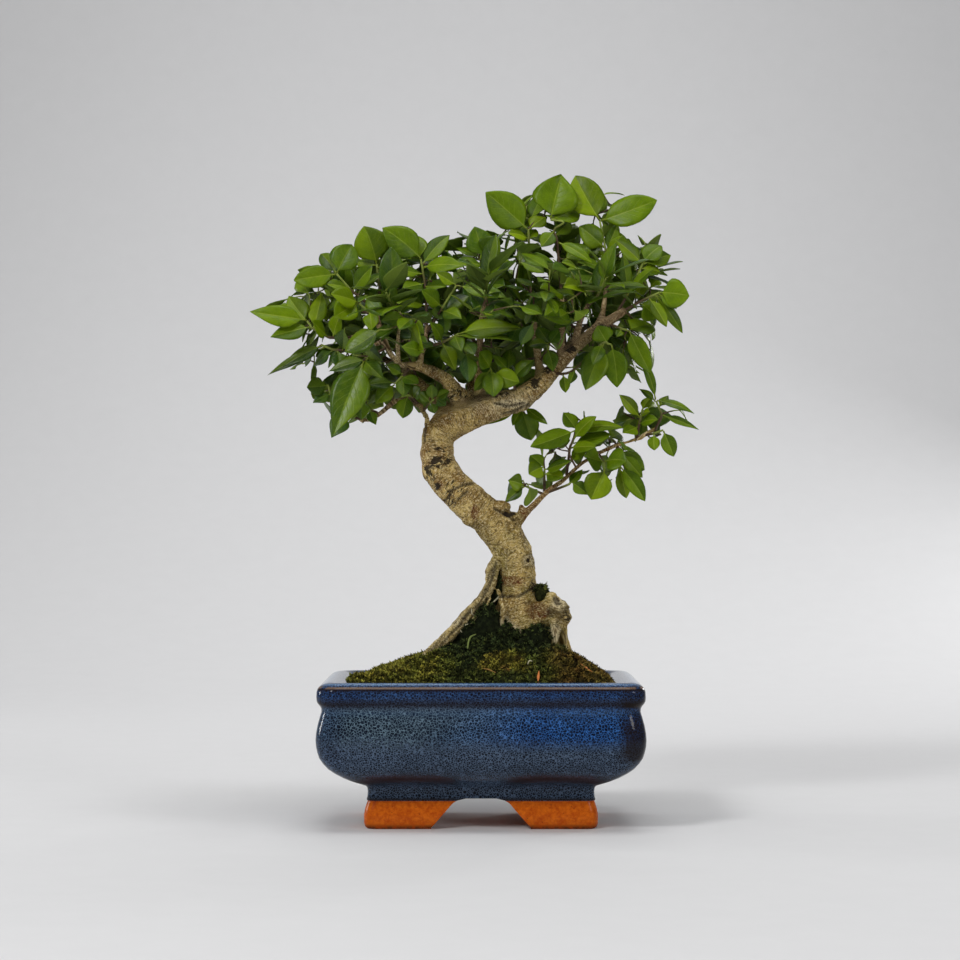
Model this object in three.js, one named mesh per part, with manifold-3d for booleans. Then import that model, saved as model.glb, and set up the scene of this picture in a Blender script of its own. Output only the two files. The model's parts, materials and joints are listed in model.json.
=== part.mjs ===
// A Chinese privet grown as a bonsai, about 40 cm tall, in a glazed rectangular pot on four corner feet.
// Millimetres, +Z up. X runs along the pot, Y from its front to its back. The feet stand on z = 0.
import * as THREE from "three";
import { mergeVertices } from "three/addons/utils/BufferGeometryUtils.js";
import Module from "manifold-3d";

const wasm = await Module();
wasm.setup();

// Driving dimensions
const POT_HALF_LENGTH = 100;
const POT_HALF_DEPTH = 75;
const POT_CORNER_RADIUS = 12;
const POT_CORNER_STEPS = 3;
const LIP_WIDTH = 17;
const FLOOR_TOP = 28;
const FLOOR_UNDERSIDE = 20;
const FOOT_THICKNESS = 9;
const FOOT_INSET = 30.6;
const DRAIN_HOLE_RADIUS = 7;
const DRAIN_HOLE_X = 36;
const SCREEN_SIZE = 25;
const SCREEN_THICKNESS = 1.2;
const SCREEN_SLOT_WIDTH = 4;
const SCREEN_SLOT_LENGTH = 19;
const SCREEN_PITCH = 6.5;
const GAP = 0.3;
const WALL_GAP = 0.42;
const BLADE_THICKNESS = 0.72;
const BLADE_FOLD = 0.24;
const BLADE_ARCH = 0.05;
const BLADE_BASE = 0.7;
const BLADE_START = 0.12;
const OWN_GAP = 0.05;
const FINE_WIDTH = 10;
const SHOOT_RADIUS = 1.05;
const NODE_HEIGHT = 1.4;
const NODE_SPACE = 0.8;
const MIN_SOCKET_FACING = 0.35;
const OPEN_MARGIN = 4;
const SEED = 2024;

// The crown leans a little to the left and the back, so the pot stands off the middle of the whole.
const POT_CENTRE_X = 3.5;
const POT_CENTRE_Y = -9;

// Pot profile: how far inside the pot's widest outline the wall stands, and its height.
const POT_OUTSIDE = [
  [30.2, 0], [28.2, 3.5], [28.2, 9], [30.2, 16], [FOOT_INSET, 22.5], [29.4, 25], [14, 31], [4.8, 38], [0.8, 46],
  [-0.8, 56], [0.4, 65], [2.8, 73], [4, 75.5], [0.6, 77.5], [0, 84], [1.4, 88.2], [5.5, 90.2], [11.5, 90.4],
];
const POT_INSIDE = [[LIP_WIDTH, 87], [16.6, 80], [7.6, 70], [7.4, 50], [14, 37], [38, FLOOR_TOP]];

// Arched gaps between the feet: half widths at the ground and at the top, and the height.
const FRONT_ARCH = { low: 31, high: 15.5, top: 18 };
const SIDE_ARCH = { low: 20, high: 9, top: 18 };

// The mound of soil and moss rises from the lip to the trunk's foot.
const MOUND_CENTRE = new THREE.Vector2(14, 0);
const MOUND_EDGE_HEIGHT = 85.5;
const MOUND_RISE = 34;
const MOUND_POWER_LEFT = 1.15;
const MOUND_POWER_RIGHT = 1.65;
const PEAK = { x: 11, y: -9, rise: 16, radius: 12.2 };
const LUMP_HEIGHT = 1.1;
const MOSS_DEPTH = 3.6;
const MOUND_SPACING = 36;
const MOSS_RINGS = [1, 0.94, 0.82, 0.68, 0.54, 0.4, 0.27, 0.15];
const SOIL_RINGS = [1, 0.67, 0.34];

// Limbs of the tree: [x, y, z, radius] along each one's middle. The first point of a branch is inside its parent.
const TRUNK = [
  [26, 1, 80, 17], [25, 1, 110, 14.4], [24.4, 0, 128, 12.6], [23.7, 0, 143, 11.7],
  [23, 0, 157, 11.4], [20.6, 0, 168, 12.2], [15.5, -1, 178, 13], [4.4, -3, 191, 12], [-6.3, -5, 199.5, 11.7],
  [-19, -5, 211, 10.9], [-26.3, -3, 221, 11.5], [-28, 0, 231, 10.9], [-26.6, 3, 243, 10.6], [-19.5, 3, 251, 11.4],
  [-7, 1, 256.5, 10.6], [4, -1, 259.5, 9.4], [14, -2, 262.5, 8.6], [25, -3, 266, 7.9], [33, -3, 271.5, 6.8],
  [39.5, -3, 277, 5.9], [50, -3, 288, 4.9], [60, -4, 298.5, 4], [74, -5, 310.5, 3.4], [91, -5, 321.5, 2.3],
];
const ROOTS = [
  [[14, -2, 169, 5], [7.5, -6, 160, 4.8], [6, -8, 149, 3.8], [1, -9, 140, 4], [-8, -10, 129.5, 4.6],
    [-18, -11, 118.5, 4], [-30, -11, 107, 3.4], [-42, -10, 94, 3]],
  [[24, -6, 150, 6], [26, -9, 138, 5.6], [28, -11, 124, 5], [29, -12, 106, 4.5]],
  [[17, -6, 146, 2.4], [14.5, -10, 136, 1.9], [12, -12, 122, 1.8], [9, -13, 106, 1.8]],
  [[46, -3, 127, 4], [51, -4, 119, 2.8], [54.5, -5, 108, 2.6], [58, -5, 95, 2.4]],
  [[20, 6, 150, 6], [10, 14, 130, 5], [0, 22, 112, 4], [-10, 28, 96, 3.4]],
  [[28, 6, 145, 6], [34, 14, 126, 5], [41, 24, 108, 3.8], [48, 32, 92, 3]],
  [[36, -1, 127, 7], [42, -2, 116, 7.5], [47, -3, 104, 8]],
];
const STUMP = [[26, 1, 120, 11], [36, -1, 127, 10.5], [44, -3, 132, 9.6], [49, -5, 138, 9]];
const STUMP_HOLLOW = { x: 50.5, y: -6.5, z: 141, radius: 5.5 };
// The moss in the crevice behind the left root, as another limb.
const CREVICE = [
  [-22, -4, 106, 7], [-12, -4, 115, 6.5], [-3, -4, 124, 6], [5, -4, 135, 5], [10, -3, 147, 4], [12, -2, 156, 2.6],
];
const BOUGHS = [
  // Left bough and its forks
  [[-8, 0, 258, 8], [-15, -1, 268, 6.5], [-22, -2, 278, 4.6], [-30, -3, 282.5, 3.5], [-41, -5, 286, 3.1],
    [-52, -6, 287, 2.9], [-57, -6, 294, 2.6], [-61, -6, 303, 2.3], [-65, -6, 314, 2], [-66, -6, 323, 1.7]],
  [[-61, -6, 302, 2], [-67, -9, 299, 1.7], [-74, -11, 297, 1.5]],
  [[-39, -5, 286, 2.4], [-37.5, -7, 294, 2], [-35, -8, 300, 1.6], [-34, -6, 312, 1.4]],
  [[-62, -6, 306, 1.8], [-72, -11, 306.5, 1.6], [-84, -13, 303, 1.3]],
  // Lower left twig
  [[-27, 0, 236, 4], [-34.5, -6, 245, 1.7], [-34, -5, 253, 1.5], [-38, -4, 261, 1.4], [-46, -3, 265.5, 1.3],
    [-55, -3, 264, 1.2], [-61.5, -3, 258, 1.2], [-69, -2, 252.5, 1.1], [-76, -1, 252, 1]],
  // Lower right branch
  [[14, -1, 184, 8], [24, -1, 190, 4.5], [30, -1, 196, 2.7], [38, -1, 204.5, 2.4], [43, -1, 209, 2.2],
    [51, 0, 214, 2], [63, 0, 225.5, 1.8], [74, 0, 231.5, 1.6], [87, 0, 236.5, 1.5], [100, 0, 241, 1.4],
    [111, -2, 247.5, 1.1]],
  [[25, -1, 191, 2.2], [25.5, -2, 199, 1.2]],
  // Upper boughs
  [[38, -2, 276, 4.2], [36, 2, 292, 2.8], [34, 5, 310, 2.2], [32.5, 6, 332, 1.6]],
  [[50, -3, 288, 3.4], [51, -5, 303, 2.4], [51, -4, 318, 1.9], [51, -4, 331, 1.5]],
  [[72, -5, 309, 2.6], [77, -3, 320, 2], [79, -2, 336, 1.5]],
  [[0, 0, 262, 5], [-2, 5, 280, 3.2], [-1, 5, 300, 2.4], [4, 2, 325, 1.6]],
  // Boughs towards the back
  [[-20, 4, 256, 6], [-32, 18, 270, 3.8], [-50, 34, 286, 2.8], [-70, 46, 298, 1.8]],
  [[-4, 4, 259, 5], [-6, 22, 276, 3.4], [2, 42, 292, 2.4], [6, 60, 303, 1.7]],
  [[46, -1, 284, 4], [54, 16, 298, 2.8], [64, 36, 311, 2], [72, 52, 318, 1.6]],
  // Boughs towards the front, above the trunk's bend
  [[-1, 4, 292, 2.4], [-1, -14, 310, 2], [2, -34, 322, 1.5]],
  [[-52, -6, 287, 2.4], [-50, -18, 302, 2], [-48, -36, 314, 1.5]],
  [[58, -4, 297, 3], [62, -18, 314, 2.2], [66, -34, 322, 1.5]],
];

// Shoots seen from the front: the stem's points [x, y, z], then each leaf as
// [place along the stem from 0 to 1, tip x, tip y, tip z, width, lean]. The lean is 0 for a blade that faces
// the front and 90 for one that faces the sky.
const FRONT_SHOOTS = [
  ["top_left", [[32, 6, 329], [31, 4, 352], [30, 2, 374]], [
    [1, 3, -4, 396, 24, 15], [0.85, 17, -8, 370, 12, 30], [0.85, 35, 6, 374, 8, 30], [1, 41, 10, 382, 12, 40],
  ]],
  ["top_middle", [[51, -4, 328], [48, -4, 364], [44, -3, 379]], [
    [1, 51, 2, 408, 30, 10], [0.75, 58, -10, 380, 15, 25], [0.7, 38, -8, 361, 11, 35], [1, 62, 10, 387, 18, 30],
    [0.5, 70, -12, 350, 9, 30],
  ]],
  ["top_right", [[79, -2, 334], [79, -1, 357], [75, 0, 379]], [
    [1, 60, 8, 408, 23, 10], [1, 111, -4, 391, 20, 15], [0.6, 62, -8, 374, 16, 20], [0.55, 87, 6, 377, 9, 30],
    [0.5, 89, -6, 368, 7, 40], [0.3, 60, -12, 351, 10, 30],
  ]],
  ["right_crest", [[84, -5, 317], [94, -6, 334], [102, -9, 351]], [
    [1, 84, -14, 365, 12, 30], [1, 114, -4, 362, 15, 40], [1, 120, 2, 357, 13, 20], [0.9, 113, -12, 345, 10, 30],
    [0.45, 89, -16, 355, 8, 30], [0.4, 109, -16, 347, 9, 30],
  ]],
  ["right_end", [[90, -4, 321], [101, -8, 327], [112, -10, 332]], [
    [1, 131, -8, 330, 20, 15], [1, 123, -14, 322, 9, 40], [0.9, 127, -10, 307, 9, 25],
    [0.7, 116, -14, 310, 9, 30], [0.7, 82, -16, 335, 7, 40], [0.45, 111, -2, 317, 17, 25],
  ]],
  ["right_hanging", [[80, -5, 313], [87, -8, 310], [93, -10, 308]], [
    [1, 106, -16, 281, 13, 20], [0.6, 85, -12, 304, 6, 30], [1, 108, 2, 312, 22, 50],
  ]],
  ["right_under", [[45, -4, 281], [56, -14, 282], [68, -16, 292], [75, -16, 299], [82, -15, 299]], [
    [0.8, 65, -24, 270, 17, 15], [1, 85, -18, 272, 16, 15], [0.75, 69, -30, 285, 9, 20],
    [0.3, 55, -20, 274, 6, 30], [0.15, 53, -12, 269, 7, 30], [0.9, 73, -8, 311, 15, 30],
  ]],
  ["lower_tip", [[108, -2, 246], [114, -3, 253], [110, -4, 265]], [
    [1, 99, -6, 295, 6, 20], [1, 134, -8, 256, 6, 30], [0.6, 137, -6, 246, 6, 30], [1, 100, 2, 272, 5, 30],
    [0.8, 119, 8, 268, 6, 30],
  ]],
  ["lower_round", [[104, -1, 243], [110, -6, 244], [115, -7, 246]], [
    [1, 121, -9, 229, 10, 10], [0.4, 109, -8, 233, 8, 10],
  ]],
  ["lower_top", [[98, 0, 240], [100, -1, 250], [102, -2, 260]], [
    [0.7, 87, -6, 268, 9, 30], [0.9, 108, 6, 267, 7, 40], [0.5, 111, -10, 252, 9, 30],
    [0.45, 89, -8, 244, 11, 40], [0.8, 106, -8, 257, 7, 30],
  ]],
  ["lower_hanging", [[86, 0, 236], [89, -4, 230], [87, -6, 222]], [
    [1, 103, -8, 201, 11, 15], [0.4, 102, 2, 216, 10, 20], [1, 92, 4, 203, 10, 25],
  ]],
  ["lower_wide", [[74, 0, 231], [77, -6, 227], [78, -8, 221]], [
    [0.6, 65, -16, 229, 17, 25], [0.6, 91, -16, 226, 17, 25], [1, 69, -10, 202, 18, 5],
  ]],
  ["lower_middle", [[54, 0, 218], [56, -4, 232], [60, -6, 246]], [
    [1, 31, -14, 235, 15, 35], [1, 52, -2, 257, 11, 25], [0.8, 72, -12, 254, 10, 30],
    [0.7, 82, -8, 243, 12, 40], [0.6, 72, -18, 235, 9, 30], [1, 89, -4, 247, 9, 30], [0.3, 68, -20, 238, 10, 30],
  ]],
  ["lower_inner", [[40, 0, 207], [40, -2, 217], [40, -3, 223]], [
    [1, 30, -8, 218, 13, 15], [1, 31, 2, 230, 11, 40], [0.9, 56, -14, 226, 11, 40], [0.6, 52, -10, 216, 11, 25],
  ]],
  ["lower_twiglet", [[43, -1, 209], [49, -6, 206], [57, -7, 214]], [
    [1, 67, -12, 205, 9, 20], [0.9, 64, 2, 221, 7, 40],
  ]],
  ["lower_pair", [[38, -1, 206], [32, -3, 209], [27, -4, 211]], [
    [1, 17, -8, 214, 12, 15], [1, 15, -6, 200, 8, 20],
  ]],
  ["under_bough", [[30, 2, 268], [27, 10, 262], [26, 12, 259]], [
    [1, 32, 14, 240, 16, 15], [1, -1, 16, 249, 12, 50], [0.8, 20, 4, 249, 7, 30], [0.6, 42, 4, 250, 7, 30],
  ]],
  ["left_outer_top", [[-66, -6, 321], [-81, -12, 333], [-91, -14, 344]], [
    [1, -117, -18, 339, 15, 10], [1, -81, -12, 362, 19, 10], [1, -101, -4, 357, 11, 20],
    [0.55, -96, -22, 336, 11, 40], [0.5, -68, -20, 347, 14, 35],
  ]],
  ["left_top", [[-65, -6, 316], [-64, 0, 334], [-66, 2, 351]], [
    [1, -74, 0, 375, 23, 10], [1, -79, 8, 353, 12, 40], [0.95, -52, -8, 351, 11, 35], [0.5, -52, -10, 337, 15, 40],
  ]],
  ["left_top_inner", [[-34, -6, 308], [-35, -4, 334], [-38, -4, 354]], [
    [1, -62, -8, 373, 20, 15], [1, -48, 8, 371, 18, 20], [0.85, -11, -14, 348, 15, 35],
    [0.9, -20, 6, 370, 12, 30], [0.6, -49, -18, 334, 12, 35], [0.55, -22, -18, 335, 15, 40],
    [0.75, -59, -14, 348, 10, 35], [0.3, -53, -16, 325, 12, 35],
  ]],
  ["centre_top", [[4, 2, 320], [3, 1, 341], [2, 0, 355]], [
    [1, -4, 2, 375, 18, 10], [1, 11, -4, 367, 17, 15], [0.8, -18, -6, 351, 13, 50],
    [0.7, 19, -10, 351, 15, 40], [0.4, 15, -14, 336, 16, 40],
  ]],
  ["centre_front", [[-34.5, -7, 306], [-24, -18, 322], [-15, -22, 336]], [
    [1, 16, -28, 327, 12, 35], [1, -28, -26, 343, 11, 40], [0.5, -37, -26, 332, 14, 35],
    [0.45, -12, -28, 314, 11, 30],
  ]],
  ["centre_long", [[-36, -7, 298], [-24, -20, 300], [-14, -24, 305]], [
    [1, 26, -26, 308, 15, 45], [0.9, 21, -32, 300, 9, 30], [0.5, -16, -26, 282, 11, 20],
    [0.5, -32, -28, 312, 11, 40], [0.9, -12, -34, 293, 10, 30],
  ]],
  ["left_far", [[-78, -12, 305], [-90, -15, 303], [-102, -18, 306], [-109, -18, 314]], [
    [1, -144, -22, 319, 15, 20], [1, -121, -16, 330, 15, 10], [0.85, -131, -24, 303, 14, 20],
    [0.8, -100, -8, 332, 12, 25], [0.5, -105, -28, 313, 13, 50], [0.4, -87, -26, 318, 12, 35],
  ]],
  ["left_yellow", [[-64, -6, 312], [-70, -16, 319], [-77, -20, 325]], [
    [1, -91, -26, 315, 17, 15], [1, -93, -20, 329, 15, 35], [0.5, -68, -28, 307, 10, 30],
  ]],
  ["left_dark", [[-70, -9.5, 298], [-81, -12, 296], [-92, -12, 296], [-100, -12, 299]], [
    [1, -124, -16, 285, 10, 25], [0.9, -134, -10, 280, 7, 20], [0.6, -88, -18, 283, 10, 30],
    [0.5, -85, -20, 308, 13, 30], [0.7, -105, -4, 286, 9, 30],
  ]],
  ["left_big", [[-59, -6, 298], [-68, -17, 292], [-73, -22, 288]], [
    [1, -91, -34, 242, 24, 10], [0.6, -73, -28, 273, 9, 10], [0.8, -95, -28, 282, 11, 40],
    [1, -60, -26, 276, 11, 20],
  ]],
  ["left_low", [[-73, -1.5, 252], [-83, 0, 255], [-92, 2, 263], [-97, 2, 275]], [
    [1, -110, 0, 273, 13, 20], [0.85, -106, -2, 263, 9, 30], [0.4, -94, -8, 241, 13, 15],
    [0.5, -81, -8, 266, 9, 20], [0.9, -91, 8, 283, 12, 30],
  ]],
  ["left_low_middle", [[-64, -2.5, 256], [-71, -5, 260], [-75, -6, 265]], [
    [1, -75, -10, 252, 11, 10], [0.4, -66, -8, 249, 7, 20], [1, -82, -12, 272, 10, 30],
  ]],
  ["left_low_round", [[-40, -4, 262.5], [-43, -8, 266], [-46, -9, 268]], [
    [1, -49, -12, 253, 11, 5], [0.8, -56, -14, 266, 10, 25], [0.6, -38, -14, 272, 10, 30],
  ]],
  ["centre_hanging", [[12, -4, 263], [9, -12, 273], [6, -14, 284]], [
    [1, 8, -20, 266, 14, 10], [1, -4, -16, 270, 8, 30], [0.9, 24, -18, 275, 13, 15], [1, -1, -20, 294, 15, 40],
  ]],
  ["centre_inner", [[37, 2, 289], [41, -6, 295], [43, -10, 300]], [
    [1, 30, -12, 298, 9, 35], [1, 49, -12, 308, 10, 35], [0.7, 45, -16, 282, 10, 15], [0.7, 55, -8, 295, 9, 35],
    [1, 36, -6, 311, 10, 35],
  ]],
  ["centre_low", [[21, -3, 264], [21, -10, 274], [17, -12, 283]], [
    [0.7, 33, -14, 289, 11, 35], [1, 7, -14, 293, 7, 35], [0.7, 32, -18, 276, 9, 25], [1, 18, -8, 297, 9, 35],
    [1, 10, -18, 273, 8, 20],
  ]],
  ["left_inner", [[-45, -5, 285], [-49, -12, 280], [-54, -14, 274]], [
    [1, -66, -16, 262, 12, 20], [1, -71, -18, 273, 10, 35], [0.6, -48, -18, 266, 10, 20], [0.6, -39, -14, 274, 9, 35],
    [0.5, -59, -14, 286, 9, 35],
  ]],
  ["left_low_inner", [[-36, -5, 258], [-32, -9, 263], [-28, -10, 266]], [
    [1, -20, -12, 270, 8, 30], [1, -22, -12, 261, 8, 20], [0.7, -31, -12, 274, 8, 30], [0.6, -39, -12, 269, 8, 30],
    [0.6, -29, -12, 256, 7, 20],
  ]],
];

// Shoots that fill the crown behind and between them: where each leaves its bough, and where its tip is.
const FILLING_SHOOTS = [
  [[-70, 46, 298], [-94, 58, 322]],
  [[-60, 40, 292], [-88, 32, 304]],
  [[-50, 34, 286], [-54, 66, 308]],
  [[-40, 25, 277], [-52, 24, 318]],
  [[-65, -5, 318], [-94, 14, 334]],
  [[6, 60, 303], [10, 76, 330]],
  [[4, 50, 297], [-26, 66, 320]],
  [[0, 38, 289], [32, 52, 312]],
  [[-3, 28, 281], [-20, 36, 322]],
  [[-1, 5, 296], [-18, 20, 336]],
  [[72, 52, 318], [88, 68, 340]],
  [[64, 36, 311], [42, 56, 338]],
  [[60, 28, 305], [98, 38, 326]],
  [[54, 16, 298], [52, 28, 346]],
  [[79, -2, 332], [106, 16, 348]],
  [[33, 5, 318], [12, 24, 352]],
  [[2, -34, 322], [4, -60, 338]],
  [[-48, -36, 314], [-58, -62, 328]],
  [[66, -34, 322], [76, -60, 336]],
];
const FILLING_PAIRS = 5;
const FILLING_FIRST = 0.34;
const FILLING_BOW = 3;
const FILLING_CHOICES = 14;

// What the pruning keeps in sight from the front: the trunk and the thick part of the left bough.
const OPEN_LIMBS = [TRUNK, BOUGHS[0].slice(1, 6)];

const material = (color, roughness) => new THREE.MeshStandardMaterial({ color, roughness, metalness: 0 });
const GLAZE = material("#26406f", 0.25);
const SOIL = material("#3a2c20", 0.95);
const MOSS = material("#4a5a1e", 0.95);
const BARK = material("#a08a62", 0.85);
const LEAVES = material("#3f7a1f", 0.45);
const SCREEN = material("#1d1f1e", 0.6);

// Solids

function solidOf(geometry) {
  const plain = geometry.clone();
  for (const name of ["normal", "uv"]) {
    plain.deleteAttribute(name);
  }
  const merged = mergeVertices(plain, 1e-4);
  const vertProperties = new Float32Array(merged.attributes.position.array);
  const triVerts = new Uint32Array(merged.index.array);
  return new wasm.Manifold(new wasm.Mesh({ numProp: 3, vertProperties, triVerts }));
}

function geometryOf(solid) {
  const mesh = solid.getMesh();
  const geometry = new THREE.BufferGeometry();
  geometry.setAttribute("position", new THREE.BufferAttribute(new Float32Array(mesh.vertProperties), 3));
  geometry.setIndex(new THREE.BufferAttribute(new Uint32Array(mesh.triVerts), 1));
  const faceted = geometry.toNonIndexed();
  faceted.computeVertexNormals();
  return faceted;
}

function joined(solids) {
  return solids.reduce((whole, next) => whole.add(next));
}

function largestPiece(solid) {
  const pieces = solid.decompose();
  return pieces.reduce((best, next) => (next.volume() > best.volume() ? next : best));
}

// Closes a row of rings, all with the same number of points, with a flat fan at each end. The rings run
// anticlockwise from the bottom up, or from the top down where it is turned.
function loft(rings, turned = false) {
  const count = rings[0].length;
  const points = rings.flat();
  const index = [];
  for (let ring = 0; ring + 1 < rings.length; ring += 1) {
    for (let k = 0; k < count; k += 1) {
      const a = ring * count + k;
      const b = ring * count + ((k + 1) % count);
      index.push(a, b, b + count, a, b + count, a + count);
    }
  }
  const last = (rings.length - 1) * count;
  for (let k = 1; k + 1 < count; k += 1) {
    index.push(0, k + 1, k, last, last + k, last + k + 1);
  }
  const geometry = new THREE.BufferGeometry().setFromPoints(points);
  geometry.setIndex(turned ? index.reverse() : index);
  return geometry;
}

// Pot

// A rounded rectangle that stands inside the pot's widest outline by the inset.
function outline(inset, height, steps = POT_CORNER_STEPS) {
  const radius = Math.max(POT_CORNER_RADIUS - 0.2 * inset, 5);
  const x = POT_HALF_LENGTH - inset - radius;
  const y = POT_HALF_DEPTH - inset - radius;
  const corners = [[x, y], [-x, y], [-x, -y], [x, -y]];
  return corners.flatMap(([cx, cy], quarter) => Array.from({ length: steps + 1 }, (_, k) => {
    const angle = (quarter + k / steps) * Math.PI / 2;
    return new THREE.Vector3(cx + radius * Math.cos(angle), cy + radius * Math.sin(angle), height);
  }));
}

function box(width, depth, height, x, y, z) {
  const geometry = new THREE.BoxGeometry(width, depth, height);
  geometry.translate(x, y, z);
  return geometry;
}

// The gap's outline in its own plane, from below the ground to its rounded top.
function archShape({ low, high, top }) {
  const round = 5;
  const shape = new THREE.Shape();
  shape.moveTo(-low, -1);
  shape.lineTo(low, -1);
  shape.lineTo(high + round * 0.7, top - round);
  shape.quadraticCurveTo(high + 1, top, high - round, top);
  shape.lineTo(-high + round, top);
  shape.quadraticCurveTo(-high - 1, top, -high - round * 0.7, top - round);
  shape.closePath();
  return shape;
}

function arch(sizes, length) {
  const options = { depth: length, bevelEnabled: false, curveSegments: 3 };
  const geometry = new THREE.ExtrudeGeometry(archShape(sizes), options);
  geometry.translate(0, 0, -length / 2);
  geometry.rotateX(Math.PI / 2);
  return geometry;
}

function pot() {
  const rings = [...POT_OUTSIDE, ...POT_INSIDE].map(([inset, height]) => outline(inset, height));
  const under = FOOT_INSET + FOOT_THICKNESS;
  const hollow = loft([outline(under, -1), outline(under, FLOOR_UNDERSIDE)]);
  const sideArch = arch(SIDE_ARCH, 3 * POT_HALF_LENGTH).rotateZ(Math.PI / 2);
  const cuts = [hollow, arch(FRONT_ARCH, 3 * POT_HALF_DEPTH), sideArch];
  for (const x of [-DRAIN_HOLE_X, DRAIN_HOLE_X]) {
    const hole = new THREE.CylinderGeometry(DRAIN_HOLE_RADIUS, DRAIN_HOLE_RADIUS, 4 * FLOOR_TOP, 12);
    cuts.push(hole.rotateX(Math.PI / 2).translate(x, 0, FLOOR_TOP));
  }
  return solidOf(loft(rings)).subtract(joined(cuts.map(solidOf)));
}

// A plate with three slots over each drain hole.
function drainScreen(x) {
  const middle = FLOOR_TOP + GAP + SCREEN_THICKNESS / 2;
  const slots = [-SCREEN_PITCH, 0, SCREEN_PITCH].map((dy) => (
    box(SCREEN_SLOT_LENGTH, SCREEN_SLOT_WIDTH, 2 * SCREEN_THICKNESS, x, dy, middle)));
  const plate = box(SCREEN_SIZE, SCREEN_SIZE, SCREEN_THICKNESS, x, 0, middle);
  return solidOf(plate).subtract(joined(slots.map(solidOf)));
}

// Soil and moss

// Height of the mound where its outline has shrunk to a share: full on the right, gently hollow on the left,
// with a peak against the front of the trunk's foot.
function mound(x, y, share) {
  const rightness = THREE.MathUtils.smoothstep(x, -20, 40);
  const power = THREE.MathUtils.lerp(MOUND_POWER_LEFT, MOUND_POWER_RIGHT, rightness);
  const peak = PEAK.rise * Math.exp(-((x - PEAK.x) ** 2 + (y - PEAK.y) ** 2) / PEAK.radius ** 2);
  return MOUND_EDGE_HEIGHT + MOUND_RISE * (1 - share ** power) + peak * (1 - share);
}

// The moss swells and sinks in soft lumps, which die out at the edge.
function lumps(x, y, share) {
  const waves = Math.sin(0.31 * x + 0.8) * Math.sin(0.37 * y) + 0.7 * Math.sin(0.19 * x - 0.43 * y);
  return LUMP_HEIGHT * waves * Math.sin(Math.PI * Math.min(1, 1.4 * (1 - share)));
}

// One ring of the mound, shrunk towards the trunk's foot to the given share of the pot's opening.
function moundRing(share, lift, rough) {
  return spread(LIP_WIDTH + GAP, 0).map((edge) => {
    const x = MOUND_CENTRE.x + share * (edge.x - MOUND_CENTRE.x);
    const y = MOUND_CENTRE.y + share * (edge.y - MOUND_CENTRE.y);
    return new THREE.Vector3(x, y, mound(x, y, share) + lift + (rough ? lumps(x, y, share) : 0));
  });
}

// A rounded rectangle with extra points along its straight sides, as many as the pot's opening needs, so that
// rings of every size have the same number of points.
function spread(inset, height) {
  const corners = outline(inset, height);
  const opening = outline(LIP_WIDTH + GAP, height);
  return corners.flatMap((point, k) => {
    const next = (k + 1) % corners.length;
    const parts = Math.max(1, Math.round(opening[k].distanceTo(opening[next]) / MOUND_SPACING));
    return Array.from({ length: parts }, (_, step) => point.clone().lerp(corners[next], step / parts));
  });
}

// The wall of the pot's hollow, pushed in by the gap.
function soilWall() {
  return POT_INSIDE.slice(1).map(([inset, height], k, all) => {
    const [upperInset, upperHeight] = all[Math.max(0, k - 1)];
    const [lowerInset, lowerHeight] = all[Math.min(all.length - 1, k + 1)];
    const fall = upperHeight - lowerHeight;
    const run = lowerInset - upperInset;
    const push = WALL_GAP / Math.hypot(fall, run);
    return [inset + push * fall, height + push * run];
  });
}

function soil(wood) {
  const wall = soilWall().reverse().map(([inset, height]) => spread(inset, height));
  const top = SOIL_RINGS.map((share) => moundRing(share, -MOSS_DEPTH - GAP, false));
  const pockets = [-DRAIN_HOLE_X, DRAIN_HOLE_X].map((x) => (
    box(SCREEN_SIZE + 2 * GAP, SCREEN_SIZE + 2 * GAP, 2 * (SCREEN_THICKNESS + 2 * GAP), x, 0, FLOOR_TOP)));
  return largestPiece(solidOf(loft([...wall, ...top])).subtract(joined([wood, ...pockets.map(solidOf)])));
}

// A mat of moss over the soil, and the wedge of it that climbs between the left root and the trunk.
function moss(wood) {
  const over = MOSS_RINGS.map((share) => moundRing(share, 0, true)).reverse();
  const under = SOIL_RINGS.map((share) => moundRing(share, -MOSS_DEPTH, false));
  const mat = solidOf(loft([...over, ...under], true));
  const ground = solidOf(loft([moundRing(1, -MOUND_RISE, false), ...under]));
  const climbing = solidOf(limb(CREVICE, { sides: 6, uneven: 0.1 })).subtract(ground);
  return largestPiece(mat.add(climbing).subtract(wood));
}

// Tree

// A round limb along [x, y, z, radius] points, uneven as bark is, and thicker all over by grow.
function limb(points, { sides, grow = 0, uneven = 0 }) {
  const curve = curveOf(points.map(([x, y, z]) => [x, y, z]));
  const last = points.length - 1;
  const side = new THREE.Vector3(0.31, -0.95, 0.05);
  const rings = points.map(([, , , radius], k) => {
    const tangent = curve.getTangent(k / last);
    const middle = curve.getPoint(k / last);
    if (k === 0 || k === last) {
      middle.addScaledVector(tangent, k === 0 ? -grow : grow);
    }
    side.addScaledVector(tangent, -side.dot(tangent)).normalize();
    const across = new THREE.Vector3().crossVectors(tangent, side);
    return Array.from({ length: sides }, (_, n) => {
      const angle = 2 * Math.PI * n / sides;
      const wave = 1 + uneven * (0.6 * Math.sin(2 * angle + 1.3 * k) + 0.4 * Math.sin(3 * angle - 0.9 * k));
      const spoke = side.clone().multiplyScalar(Math.cos(angle)).addScaledVector(across, Math.sin(angle));
      return middle.clone().addScaledVector(spoke, (radius + grow) * wave);
    });
  });
  return loft(rings);
}

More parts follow.
